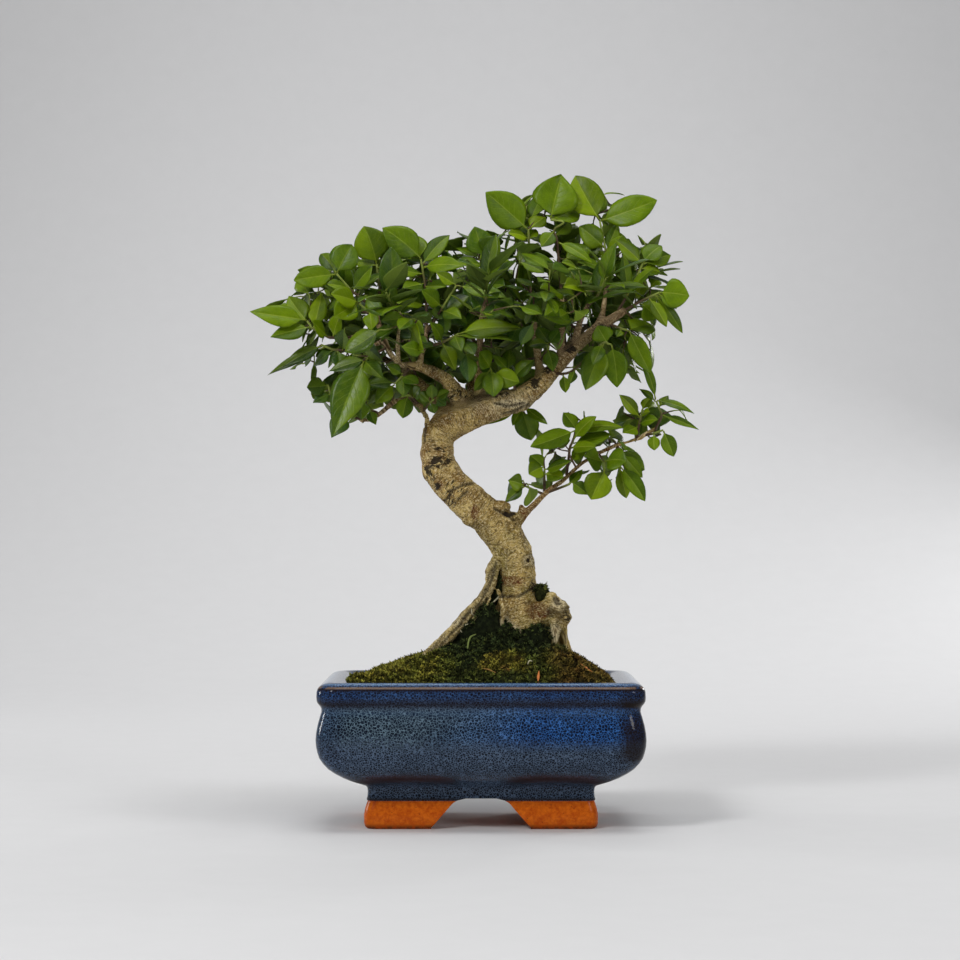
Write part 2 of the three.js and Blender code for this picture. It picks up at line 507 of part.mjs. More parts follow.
function wood(grow) {
  const parts = [
    limb(TRUNK, { sides: 11, grow, uneven: 0.07 }),
    limb(STUMP, { sides: 8, grow, uneven: 0.07 }),
    ...ROOTS.map((root) => limb(root, { sides: 6, grow, uneven: 0.08 })),
    ...BOUGHS.map((bough) => limb(bough, { sides: bough[0][3] > 3 ? 6 : 5, grow, uneven: 0.05 })),
  ];
  const hollow = new THREE.IcosahedronGeometry(STUMP_HOLLOW.radius - grow, 0);
  hollow.translate(STUMP_HOLLOW.x, STUMP_HOLLOW.y, STUMP_HOLLOW.z);
  return largestPiece(joined(parts.map(solidOf)).subtract(solidOf(hollow)));
}

// Leaves

// Repeatable draws between 0 and 1 (mulberry32).
function draws(seed) {
  let state = seed >>> 0;
  return () => {
    state = (state + 0x6D2B79F5) >>> 0;
    let t = state;
    t = Math.imul(t ^ (t >>> 15), t | 1);
    t ^= t + Math.imul(t ^ (t >>> 7), t | 61);
    return ((t ^ (t >>> 14)) >>> 0) / 4294967296;
  };
}

// Half the blade's width at each share of its length, for a fine blade and for a plain one.
const FINE_ROWS = [[0.2, 0.72], [0.5, 1], [0.8, 0.64]];
const PLAIN_ROWS = [[0.3, 0.92], [0.68, 0.86]];

// The rim of a blade's upper face from one base corner round the tip to the other. A fine blade has a last
// point on its midrib. The blade is folded a little along the midrib and arched from base to tip.
function bladeRim({ base, tip, width, facing, fine }, grow) {
  const along = tip.clone().sub(base);
  const length = along.length();
  along.normalize();
  const up = facing.clone().addScaledVector(along, -facing.dot(along)).normalize();
  const side = new THREE.Vector3().crossVectors(along, up);
  const at = (share, half) => base.clone()
    .addScaledVector(along, share * length + (share === 1 ? grow : 0))
    .addScaledVector(up, 4 * BLADE_ARCH * length * share * (1 - share) + BLADE_FOLD * Math.abs(half))
    .addScaledVector(side, half + Math.sign(half) * grow);
  const rows = fine ? FINE_ROWS : PLAIN_ROWS;
  const right = rows.map(([share, part]) => at(share, 0.5 * part * width));
  const left = rows.map(([share, part]) => at(share, -0.5 * part * width)).reverse();
  const rim = [at(0, BLADE_BASE), ...right, at(1, 0), ...left, at(0, -BLADE_BASE)];
  return { rim: fine ? [...rim, at(0.5, 0)] : rim, up };
}

// A blade's points, upper face then lower face, and its triangles without the end that meets the stem.
function bladeParts(choice, grow = 0) {
  const { rim, up } = bladeRim(choice, grow);
  const half = 0.5 * BLADE_THICKNESS + grow;
  const points = [half, -half].flatMap((lift) => rim.map((point) => point.clone().addScaledVector(up, lift)));
  const edge = choice.fine ? rim.length - 1 : rim.length;
  const face = choice.fine
    ? Array.from({ length: edge }, (_, k) => [k, (k + 1) % edge, edge])
    : [[0, 1, 2], [0, 2, 3], [0, 3, 6], [3, 4, 5], [3, 5, 6]];
  const index = face.flatMap(([a, b, c]) => [a, b, c, a + rim.length, c + rim.length, b + rim.length]);
  for (let k = 0; k + 1 < edge; k += 1) {
    index.push(k, k + rim.length, k + 1 + rim.length, k, k + 1 + rim.length, k + 1);
  }
  const corners = [0, edge - 1, edge - 1 + rim.length, rim.length];
  return { points, index, corners };
}

function bladeSolid(choice, grow) {
  const { points, index, corners } = bladeParts(choice, grow);
  const [a, b, c, d] = corners;
  const geometry = new THREE.BufferGeometry().setFromPoints(points);
  geometry.setIndex([...index, a, b, c, a, c, d]);
  return solidOf(geometry);
}

function leaning(lean) {
  const angle = THREE.MathUtils.degToRad(lean);
  return new THREE.Vector3(0, -Math.cos(angle), Math.sin(angle));
}

// Each leaf of a front shoot may swing its tip a little in depth to keep clear of what is there.
function* frontChoices(base, [, x, y, z, width, lean]) {
  for (const swing of [0, 3, -3, 6, -6, 9, -9, 13, -13]) {
    for (const turn of [0, 12, -12]) {
      const tip = new THREE.Vector3(x, y + swing, z);
      yield { tip, width, facing: leaning(lean + turn), fine: width >= FINE_WIDTH };
    }
  }
}

// Opposite pairs along a filling shoot, each pair turned a quarter from the last, with seeded variety.
function* fillingChoices(base, stem, shoot, slot) {
  const pair = Math.floor(slot / 2);
  const across = new THREE.Vector3(0, 0, 1).cross(stem).normalize();
  const over = stem.clone().cross(across);
  for (let choice = 0; choice < FILLING_CHOICES; choice += 1) {
    const draw = draws(SEED + 1009 * shoot + 31 * slot + 7919 * choice);
    const angle = Math.PI * (pair / 2 + (slot % 2)) + 1.6 * (draw() - 0.5);
    const open = THREE.MathUtils.degToRad(40 + 30 * draw());
    const length = 20 + 12 * draw();
    const way = stem.clone().multiplyScalar(Math.cos(open))
      .addScaledVector(across, Math.sin(open) * Math.cos(angle))
      .addScaledVector(over, Math.sin(open) * Math.sin(angle));
    way.z = 0.8 * way.z + 0.1;
    way.normalize();
    const facing = new THREE.Vector3(0.7 * (draw() - 0.5), 0.7 * (draw() - 0.5) - 0.25, 1).normalize();
    const width = length * (0.5 + 0.12 * draw());
    const tip = base.clone().addScaledVector(way, length);
    yield { tip, width, facing, fine: false };
  }
}

// The trunk's bend and the two main boughs stay open to the front, as they are pruned.
function hidesLimb(base, tip) {
  return [0.4, 0.7, 1].some((share) => {
    const point = base.clone().lerp(tip, share);
    return point.y < 4 && OPEN_LIMBS.flat().some(([x, , z, radius]) => (
      Math.hypot(point.x - x, point.z - z) < radius + OPEN_MARGIN));
  });
}

// Shoots

// The volume that two solids share, 0 where their boxes are apart.
function shared(one, other) {
  const a = one.boundingBox();
  const b = other.boundingBox();
  const apart = [0, 1, 2].some((k) => a.min[k] > b.max[k] || b.min[k] > a.max[k]);
  return apart ? 0 : one.intersect(other).volume();
}

// Where the middles of a shoot's nodes stand along its stem: as asked, or lower where the next one needs room.
function nodePlaces(curve, shares) {
  const length = curve.getLength();
  let limit = 1 - 0.5 * NODE_HEIGHT / length;
  return [...shares].reverse().map((share) => {
    const middle = Math.min(share, limit);
    limit = middle - (NODE_HEIGHT + NODE_SPACE) / length;
    return middle;
  }).reverse();
}

// A four-sided stem: one ring at its root, and two close together at each node that carries leaves.
function stemRings(curve, from, shares, grow = 0) {
  const half = 0.5 * NODE_HEIGHT / curve.getLength();
  const places = [from, ...nodePlaces(curve, shares).flatMap((middle) => [middle - half, middle + half])];
  const side = new THREE.Vector3(0.2, -0.95, 0.1);
  return places.map((place, k) => {
    const tangent = curve.getTangent(place);
    const middle = curve.getPoint(place).addScaledVector(tangent, k === 0 ? -grow : 0);
    side.addScaledVector(tangent, -side.dot(tangent)).normalize();
    const across = new THREE.Vector3().crossVectors(tangent, side);
    const radius = SHOOT_RADIUS * (1 - 0.2 * place) + grow;
    return [0, 1, 2, 3].map((n) => {
      const angle = (n + 0.5) * Math.PI / 2;
      const spoke = side.clone().multiplyScalar(Math.cos(angle)).addScaledVector(across, Math.sin(angle));
      return middle.clone().addScaledVector(spoke, radius);
    });
  });
}

function middleOf(points) {
  return points.reduce((sum, point) => sum.add(point), new THREE.Vector3()).divideScalar(points.length);
}

// The root end of a shoot stands the gap clear of the bough that carries it.
function rootShare(name, curve, shares, bough) {
  const last = nodePlaces(curve, shares)[0] - NODE_HEIGHT / curve.getLength();
  for (let from = 0; from < last; from += 0.02) {
    if (shared(solidOf(loft(stemRings(curve, from, shares, GAP))), bough) === 0) {
      return from;
    }
  }
  throw new Error(`${name} runs along its bough`);
}

// One shoot while it grows: its stem's rings, the sockets still free on them, and its blades.
class Shoot {
  constructor(name, points, slots, bough) {
    this.name = name;
    this.curve = curveOf(points);
    this.slots = slots;
    this.shares = [...new Set(slots.map((slot) => slot.share))].sort((a, b) => a - b);
    this.rings = stemRings(this.curve, rootShare(name, this.curve, this.shares, bough), this.shares);
    this.stem = solidOf(loft(this.rings));
    this.sockets = this.shares.flatMap((share, node) => this.socketsAt(share, 2 * node + 1));
    this.blades = [];
    this.solids = [this.stem];
  }

  socketsAt(share, ring) {
    const sides = [0, 1, 2, 3].map((n) => {
      const next = (n + 1) % 4;
      return [[ring, n], [ring, next], [ring + 1, next], [ring + 1, n]];
    });
    if (ring + 2 === this.rings.length) {
      sides.push([[ring + 1, 0], [ring + 1, 1], [ring + 1, 2], [ring + 1, 3]]);
    }
    return sides.map((corners) => ({ share, corners, middle: middleOf(corners.map((at) => this.point(at))) }));
  }

  point([ring, n]) {
    return this.rings[ring][n];
  }

  // The free socket of a node that looks most towards the tip.
  socketTowards(share, tip) {
    const centre = this.curve.getPoint(share);
    const way = tip.clone().sub(centre).normalize();
    const facing = (socket) => {
      const [a, b, , d] = socket.corners.map((at) => this.point(at));
      return b.clone().sub(a).cross(d.clone().sub(a)).normalize().dot(way);
    };
    const free = this.sockets.filter((socket) => socket.share === share && !socket.used);
    const best = free.reduce((one, other) => (other && facing(other) > facing(one) ? other : one), free[0]);
    return best && facing(best) > MIN_SOCKET_FACING ? best : null;
  }

  // Takes the first choice that keeps the gap to every other piece and crosses nothing of its own shoot.
  grow(slot, others) {
    const centre = this.curve.getPoint(slot.share);
    for (const choice of slot.choices(centre, this.curve.getTangent(slot.share))) {
      const socket = this.socketTowards(slot.share, choice.tip);
      if (socket) {
        const leaf = { ...choice, base: socket.middle };
        const grown = bladeSolid(leaf, GAP);
        const clear = others.every((other) => shared(grown, other) === 0);
        if (clear && this.solids.every((own) => shared(bladeSolid(this.lifted(leaf), OWN_GAP), own) === 0)) {
          socket.used = true;
          this.blades.push({ leaf, socket });
          this.solids.push(bladeSolid(leaf));
          return;
        }
      }
    }
  }

  // The same blade without its first stretch, which starts on the stem.
  lifted(leaf) {
    return { ...leaf, base: leaf.base.clone().lerp(leaf.tip, BLADE_START) };
  }

  // Stem and blades in one closed surface: each blade grows out of the socket that it takes the place of.
  geometry() {
    const points = this.rings.flat();
    const index = [];
    const used = new Set(this.blades.map(({ socket }) => socket.corners.join()));
    for (let ring = 0; ring + 1 < this.rings.length; ring += 1) {
      for (let n = 0; n < 4; n += 1) {
        const next = (n + 1) % 4;
        const corners = [[ring, n], [ring, next], [ring + 1, next], [ring + 1, n]];
        if (!used.has(corners.join())) {
          const [a, b, c, d] = corners.map(([r, k]) => 4 * r + k);
          index.push(a, b, c, a, c, d);
        }
      }
    }
    const last = this.rings.length - 1;
    const end = [0, 1, 2, 3].map((n) => [last, n]);
    index.push(0, 2, 1, 0, 3, 2);
    if (!used.has(end.join())) {
      const [a, b, c, d] = end.map(([r, k]) => 4 * r + k);
      index.push(a, b, c, a, c, d);
    }
    for (const { leaf, socket } of this.blades) {
      const { points: bladePoints, index: bladeIndex, corners } = bladeParts(leaf);
      const seats = socket.corners.map(([r, k]) => 4 * r + k);
      const turns = [0, 1, 2, 3].map((turn) => corners.map((_, k) => seats[(turn + 4 - k) % 4]));
      const reach = (seat, k) => points[seat].distanceTo(bladePoints[corners[k]]);
      const strain = (turn) => turn.reduce((sum, seat, k) => sum + reach(seat, k), 0);
      const seating = turns.reduce((best, turn) => (strain(turn) < strain(best) ? turn : best));
      const offset = points.length;
      const renamed = bladePoints.map((_, k) => (corners.includes(k) ? seating[corners.indexOf(k)] : offset + k));
      points.push(...bladePoints);
      index.push(...bladeIndex.map((k) => renamed[k]));
    }
    const geometry = new THREE.BufferGeometry().setFromPoints(points);
    geometry.setIndex(index);
    const faceted = geometry.toNonIndexed();
    faceted.computeVertexNormals();
    return faceted;
  }
}

function curveOf(points) {
  return new THREE.CatmullRomCurve3(points.map((point) => new THREE.Vector3(...point)), false, "catmullrom", 0.5);
}

function bowed([start, end]) {
  const middle = start.map((value, k) => (value + end[k]) / 2);
  middle[2] -= FILLING_BOW;
  return [start, middle, end];
}

function frontShoot([name, points, leaves], bough) {
  const slots = leaves.map((leaf) => ({ share: leaf[0], choices: (base) => frontChoices(base, leaf) }));
  return new Shoot(`shoot_${name}`, points, slots, bough);
}

function fillingShoot(ends, shoot, bough) {
  const slots = Array.from({ length: 2 * FILLING_PAIRS }, (_, slot) => ({
    share: FILLING_FIRST + (1 - FILLING_FIRST) * Math.floor(slot / 2) / (FILLING_PAIRS - 1),
    choices: (base, stem) => [...fillingChoices(base, stem, shoot, slot)].filter(({ tip }) => !hidesLimb(base, tip)),
  }));
  return new Shoot(`shoot_filling_${shoot + 1}`, bowed(ends), slots, bough);
}

const tree = wood(0);
const clearance = wood(GAP);
const mossMat = moss(clearance);
const shoots = [
  ...FRONT_SHOOTS.map((row) => frontShoot(row, tree)),
  ...FILLING_SHOOTS.map((ends, shoot) => fillingShoot(ends, shoot, tree)),
];
for (const shoot of shoots) {
  const others = shoots.filter((other) => other !== shoot);
  for (const slot of shoot.slots) {
    shoot.grow(slot, [tree, ...others.flatMap((other) => other.solids)]);
  }
}

const group = new THREE.Group();
group.position.set(POT_CENTRE_X, POT_CENTRE_Y, 0);

function addPiece(name, geometry, finish) {
  const mesh = new THREE.Mesh(geometry, finish);
  mesh.name = name;
  group.add(mesh);
}

addPiece("pot", geometryOf(pot()), GLAZE);
addPiece("drain_screen_left", geometryOf(drainScreen(-DRAIN_HOLE_X)), SCREEN);
addPiece("drain_screen_right", geometryOf(drainScreen(DRAIN_HOLE_X)), SCREEN);
addPiece("soil", geometryOf(soil(clearance)), SOIL);
addPiece("moss", geometryOf(mossMat), MOSS);
addPiece("tree", geometryOf(tree), BARK);
for (const shoot of shoots) {
  addPiece(shoot.name, shoot.geometry(), LEAVES);
}

export default group;
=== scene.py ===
import json
import math

import bpy
import numpy as np
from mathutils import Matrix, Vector
from mathutils.bvhtree import BVHTree
from mathutils.kdtree import KDTree

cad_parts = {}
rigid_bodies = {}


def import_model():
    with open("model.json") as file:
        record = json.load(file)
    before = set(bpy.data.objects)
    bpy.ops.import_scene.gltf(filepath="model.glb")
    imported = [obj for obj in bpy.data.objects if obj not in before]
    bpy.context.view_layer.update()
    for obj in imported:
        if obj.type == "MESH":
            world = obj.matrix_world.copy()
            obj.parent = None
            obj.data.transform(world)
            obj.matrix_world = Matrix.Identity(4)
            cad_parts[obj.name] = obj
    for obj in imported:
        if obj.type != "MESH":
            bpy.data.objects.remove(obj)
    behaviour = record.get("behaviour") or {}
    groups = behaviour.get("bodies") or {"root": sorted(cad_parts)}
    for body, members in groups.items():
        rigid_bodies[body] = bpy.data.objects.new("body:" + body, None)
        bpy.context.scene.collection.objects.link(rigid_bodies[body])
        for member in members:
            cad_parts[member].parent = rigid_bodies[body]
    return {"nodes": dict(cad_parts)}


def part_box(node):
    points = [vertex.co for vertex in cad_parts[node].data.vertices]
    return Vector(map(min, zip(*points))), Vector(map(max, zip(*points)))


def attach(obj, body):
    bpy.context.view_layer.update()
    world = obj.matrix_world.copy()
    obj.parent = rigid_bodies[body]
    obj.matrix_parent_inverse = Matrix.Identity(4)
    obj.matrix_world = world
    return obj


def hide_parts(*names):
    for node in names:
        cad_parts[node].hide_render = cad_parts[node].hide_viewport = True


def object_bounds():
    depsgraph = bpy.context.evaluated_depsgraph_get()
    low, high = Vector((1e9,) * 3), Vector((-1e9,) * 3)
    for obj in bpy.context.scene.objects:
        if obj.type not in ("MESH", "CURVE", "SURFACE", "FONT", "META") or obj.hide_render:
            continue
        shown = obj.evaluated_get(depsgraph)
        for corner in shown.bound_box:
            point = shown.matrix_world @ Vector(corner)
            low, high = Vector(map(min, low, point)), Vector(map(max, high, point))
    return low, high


for stray in list(bpy.data.objects):
    bpy.data.objects.remove(stray)

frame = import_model()
CAD_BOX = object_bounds()
MM = 0.001
MICRONS_IN_METRE = 1e6
SEED = 4711
CROWN_SEED = 500
MOSS_SEED = 900

# The pot's middle in the frame, from which places in mm are measured.
POT_LOW, POT_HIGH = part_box("pot")
POT_X = (POT_LOW.x + POT_HIGH.x) / 2
POT_Y = (POT_LOW.y + POT_HIGH.y) / 2
MIDDLE = np.array([POT_X, POT_Y, 0])
CAMERA = Vector((POT_X - 0.63 * MM, POT_Y - 1575 * MM, 187.3 * MM))
# How far from the camera a line of sight ends at the latest.
SIGHT_END = 1570 * MM


def in_mm(points):
    """Where points of the frame are from the pot's middle, in mm."""
    return (points - MIDDLE) / MM


def in_frame(places):
    """The frame's points at places given in mm from the pot's middle."""
    return places * MM + MIDDLE


# Meshes

def added(name, data):
    held = bpy.data.objects.new(name, data)
    bpy.context.scene.collection.objects.link(held)
    return held


def mesh_object(name, points, faces, materials=(), smooth=True):
    """A mesh from an array of points in metres and arrays of triangles or quads."""
    mesh = bpy.data.meshes.new(name)
    loops = np.concatenate([np.ravel(group) for group in faces]).astype(np.int32)
    sizes = np.concatenate([np.full(len(group), np.shape(group)[1]) for group in faces])
    mesh.vertices.add(len(points))
    mesh.vertices.foreach_set("co", np.asarray(points, np.float32).ravel())
    mesh.loops.add(len(loops))
    mesh.loops.foreach_set("vertex_index", loops)
    mesh.polygons.add(len(sizes))
    mesh.polygons.foreach_set("loop_start", (np.cumsum(sizes) - sizes).astype(np.int32))
    for material in materials:
        mesh.materials.append(material)
    mesh.update(calc_edges=True)
    mesh.validate()
    if not smooth:
        mesh.shade_flat()
    return added(name, mesh)


def put_points(mesh, points):
    mesh.vertices.foreach_set("co", np.asarray(points, np.float32).ravel())
    mesh.update()


def set_attribute(mesh, name, values):
    kind, key = ("FLOAT_VECTOR", "vector") if np.ndim(values) == 2 else ("FLOAT", "value")
    mesh.attributes.new(name, kind, "POINT").data.foreach_set(key, np.asarray(values, np.float32).ravel())


def read(items, key, width, kind=np.float32):
    """One property of all of a mesh's items, a row for each."""
    values = np.empty(width * len(items), kind)
    items.foreach_get(key, values)
    return values.reshape(-1, width)


def points_of(mesh):
    return read(mesh.vertices, "co", 3).astype(float)


def normals_of(mesh):
    return read(mesh.vertex_normals, "vector", 3).astype(float)


def triangles_in(mesh):
    mesh.calc_loop_triangles()
    return read(mesh.loop_triangles, "vertices", 3, np.int32)


def welded(node):
    """A CAD node's points with the split corners merged, and its triangles."""
    mesh = frame["nodes"][node].data
    points = points_of(mesh)
    places = np.round(points * MICRONS_IN_METRE).astype(np.int64)
    _, first, same = np.unique(places, axis=0, return_index=True, return_inverse=True)
    return points[first], same.ravel()[triangles_in(mesh)]


def edges_of(faces):
    return np.unique(np.sort(faces[:, [0, 1, 1, 2, 2, 0]].reshape(-1, 2), axis=1), axis=0)


def modify(piece, kind, **settings):
    modifier = piece.modifiers.new(kind, kind)
    for key, value in settings.items():
        setattr(modifier, key, value)


def applied(piece):
    """Replaces a piece's mesh by what its modifiers make of it."""
    bpy.context.view_layer.update()
    made = bpy.data.meshes.new_from_object(piece.evaluated_get(bpy.context.evaluated_depsgraph_get()))
    piece.modifiers.clear()
    piece.data = made
    return piece


def remeshed(name, shapes, voxel):
    """A closed even mesh around several shapes, with its facets rounded off."""
    starts = np.cumsum([0] + [len(points) for points, _ in shapes])
    faces = np.vstack([start + triangles for start, (_, triangles) in zip(starts, shapes)])
    piece = mesh_object(name, np.vstack([points for points, _ in shapes]), [faces])
    modify(piece, "REMESH", mode="VOXEL", voxel_size=voxel, use_smooth_shade=True)
    smooth_facets(applied(piece).data)
    return piece


# Each round of smoothing draws every point towards its neighbours and then lets it out again.
SMOOTHING_ROUNDS = 6
SMOOTHING_SHARES = (0.5, -0.52)


def smooth_facets(mesh):
    """Taubin smoothing, which rounds off facets and keeps thin limbs' thickness."""
    a, b = read(mesh.edges, "vertices", 2, np.int32).T
    points = points_of(mesh)
    size = len(points)
    count = np.bincount(a, minlength=size) + np.bincount(b, minlength=size)
    for share in SMOOTHING_ROUNDS * SMOOTHING_SHARES:
        sums = [np.bincount(a, value[b], size) + np.bincount(b, value[a], size) for value in points.T]
        total = np.stack(sums, axis=1)
        points += share * (total / count[:, None] - points)
    put_points(mesh, points)


# Repeatable value noise, between -1 and 1, at points in any units. The large numbers mix a grid corner's
# place and the seed.
MIXERS = (73856093, 19349663, 83492791)
SEED_MIXER = 2654435761
LAST_MIXER = 1274126177
LAYER_SHIFT = 17.3


def lattice(cells, seed):
    x, y, z = (cells[..., k] * MIXERS[k] for k in range(3))
    mixed = x ^ y ^ z ^ (seed * SEED_MIXER)
    mixed = (mixed ^ (mixed >> 13)) * LAST_MIXER
    return ((mixed ^ (mixed >> 16)) & 0xFFFF) / 32767.5 - 1


def value_noise(points, seed):
    cells = np.floor(points).astype(np.int64)
    share = points - cells
    share = share * share * (3 - 2 * share)
    total = np.zeros(len(points))
    for corner in range(8):
        step = np.array([corner & 1, corner >> 1 & 1, corner >> 2 & 1])
        weight = np.prod(np.where(step, share, 1 - share), axis=1)
        total += weight * lattice(cells + step, seed)
    return total


def layered_noise(points, scale, layers, seed):
    """Several sizes of value noise on top of each other, the largest one given in the points' units."""
    total, weight = 0, 1
    for layer in range(layers):
        total = total + weight * value_noise(points / scale * 2 ** layer + LAYER_SHIFT * layer, seed + layer)
        weight /= 2
    return total / (2 - 2 * weight)


def smoothstep(low, high, value):
    share = np.clip((value - low) / (high - low), 0, 1)
    return share * share * (3 - 2 * share)


def bell(value, middle, width):
    """1 in the middle, and nearly 0 at twice the width away from it."""
    return np.exp(-((value - middle) / width) ** 2)


def unit(vector):
    return vector / max(np.linalg.norm(vector), 1e-12)


def units(vectors):
    return vectors / np.linalg.norm(vectors, axis=1)[:, None]


def stepped(values, count):
    """Values at even steps along a line, at another number of even steps."""
    return np.interp(np.linspace(0, 1, count), np.linspace(0, 1, len(values)), values)


def catmull(points, per_span):
    """A smooth line through three or more points, with the given number of steps between each two."""
    points = np.asarray(points, float)
    padded = np.vstack([2 * points[0] - points[1], points, 2 * points[-1] - points[-2]])
    line = []
    for k in range(len(points) - 1):
        p0, p1, p2, p3 = padded[k:k + 4]
        for t in np.arange(per_span) / per_span:
            line.append(0.5 * (2 * p1 + (p2 - p0) * t + (2 * p0 - 5 * p1 + 4 * p2 - p3) * t * t
                               + (3 * p1 - p0 - 3 * p2 + p3) * t ** 3))
    line.append(points[-1])
    return np.array(line)


def skin(rings, sides):
    """Quads between rings of points, and triangles from the end rings to two points after the others."""
    ring, k = np.meshgrid(np.arange(rings - 1) * sides, np.arange(sides), indexing="ij")
    a = (ring + k).ravel()
    b = (ring + (k + 1) % sides).ravel()
    quads = np.stack([a, b, b + sides, a + sides], axis=1)
    k = np.arange(sides)
    following = (k + 1) % sides
    base = (rings - 1) * sides
    start = np.stack([np.full(sides, rings * sides), following, k], axis=1)
    end = np.stack([np.full(sides, rings * sides + 1), base + k, base + following], axis=1)
    return quads, np.vstack([start, end])


def tube(line, radii, sides=8):
    """A closed tube along a line: its points, quads and end triangles."""
    line = np.asarray(line)
    tangents = np.gradient(line, axis=0)
    side = np.cross(tangents[0], [0.31, -0.2, 0.93])
    angles = np.arange(sides) * 2 * math.pi / sides
    rings = []
    for middle, tangent, radius in zip(line, tangents, radii):
        tangent = unit(tangent)
        side = unit(side - tangent * side.dot(tangent))
        across = np.cross(tangent, side)
        rings.append(middle + radius * (np.cos(angles)[:, None] * side + np.sin(angles)[:, None] * across))
    return np.vstack([*rings, line[0], line[-1]]), *skin(len(line), sides)


def triangles_of(quads, triangles):
    return np.vstack([quads[:, [0, 1, 2]], quads[:, [0, 2, 3]], triangles])


def limb(route, radii):
    """A closed limb through places in mm from the pot's middle: its points in metres and its triangles."""
    line = catmull(route, 4)
    points, *faces = tube(line, stepped(radii, len(line)), 10)
    return in_frame(points), triangles_of(*faces)


def lump(*place):
    """A closed ball, given by its middle and its three half widths in mm from the pot's middle."""
    turn = np.linspace(0, math.pi, 11)
    points, *faces = tube(np.outer(-np.cos(turn), [0, 0, 1]), np.maximum(np.sin(turn), 0.04), 14)
    return in_frame(points * place[3:] + place[:3]), triangles_of(*faces)


# Materials

def srgb(text):
    """A colour written as six hexadecimal digits, in the renderer's linear values."""
    values = [int(text[k:k + 2], 16) / 255 for k in (0, 2, 4)]
    return [v / 12.92 if v <= 0.04045 else ((v + 0.055) / 1.055) ** 2.4 for v in values] + [1]


class Nodes:
    """A short way to write a material's nodes. Colours are written as six hexadecimal digits."""

    def __init__(self, name):
        self.material = bpy.data.materials.new(name)
        self.material.use_nodes = True
        self.tree = self.material.node_tree
        self.tree.nodes.clear()

    def node(self, kind, inputs, **settings):
        made = self.tree.nodes.new("ShaderNode" + kind)
        for key, value in settings.items():
            setattr(made, key, value)
        for key, value in inputs.items():
            if isinstance(value, bpy.types.NodeSocket):
                self.tree.links.new(value, made.inputs[key])
            else:
                made.inputs[key].default_value = srgb(value) if isinstance(value, str) else value
        return made

    def attribute(self, name, output="Vector"):
        return self.node("Attribute", {}, attribute_name=name).outputs[output]

    def position(self):
        return self.node("TexCoord", {}).outputs["Object"]

    def vector_math(self, operation, a, b):
        return self.node("VectorMath", {0: a, 1: b}, operation=operation).outputs[0]

    def parts(self, vector):
        return list(self.node("SeparateXYZ", {0: vector}).outputs)

    def math(self, operation, a, b=0.0):
        return self.node("Math", {0: a, 1: b}, operation=operation).outputs[0]

    def plus(self, a, b):
        return self.math("ADD", a, b)

    def times(self, a, b):
        return self.math("MULTIPLY", a, b)

    def noise(self, vector, scale, detail=3.0, roughness=0.55, distortion=0.0):
        inputs = {"Vector": vector, "Scale": scale, "Detail": detail, "Roughness": roughness,
                  "Distortion": distortion}
        return self.node("TexNoise", inputs).outputs["Fac"]

    def cells(self, vector, scale, feature="F1"):
        inputs = {"Vector": vector, "Scale": scale}
        return self.node("TexVoronoi", inputs, feature=feature).outputs["Distance"]

    def span(self, value, low, high, to_low=0.0, to_high=1.0):
        inputs = {"Value": value, "From Min": low, "From Max": high, "To Min": to_low, "To Max": to_high}
        return self.node("MapRange", inputs, interpolation_type="SMOOTHSTEP").outputs[0]

    def mix(self, share, a, b):
        return self.node("Mix", {0: share, 6: a, 7: b}, data_type="RGBA").outputs[2]

    def layered(self, colour, *layers):
        """A colour with others laid over it, each given by its share and the colour."""
        for share, tone in layers:
            colour = self.mix(share, colour, tone)
        return colour

    def bump(self, height, strength, distance):
        return self.node("Bump", {"Height": height, "Strength": strength, "Distance": distance}).outputs[0]

    def principled(self, colour, roughness, **more):
        inputs = {"Base Color": colour, "Roughness": roughness}
        inputs.update({key.replace("_", " "): value for key, value in more.items()})
        return self.node("BsdfPrincipled", inputs).outputs[0]

    def finish(self, shader):
        self.node("OutputMaterial", {0: shader})
        return self.material

    def surface(self, colour, roughness, normal, gloss=0.5):
        return self.finish(self.principled(colour, roughness, Normal=normal, Specular_IOR_Level=gloss))


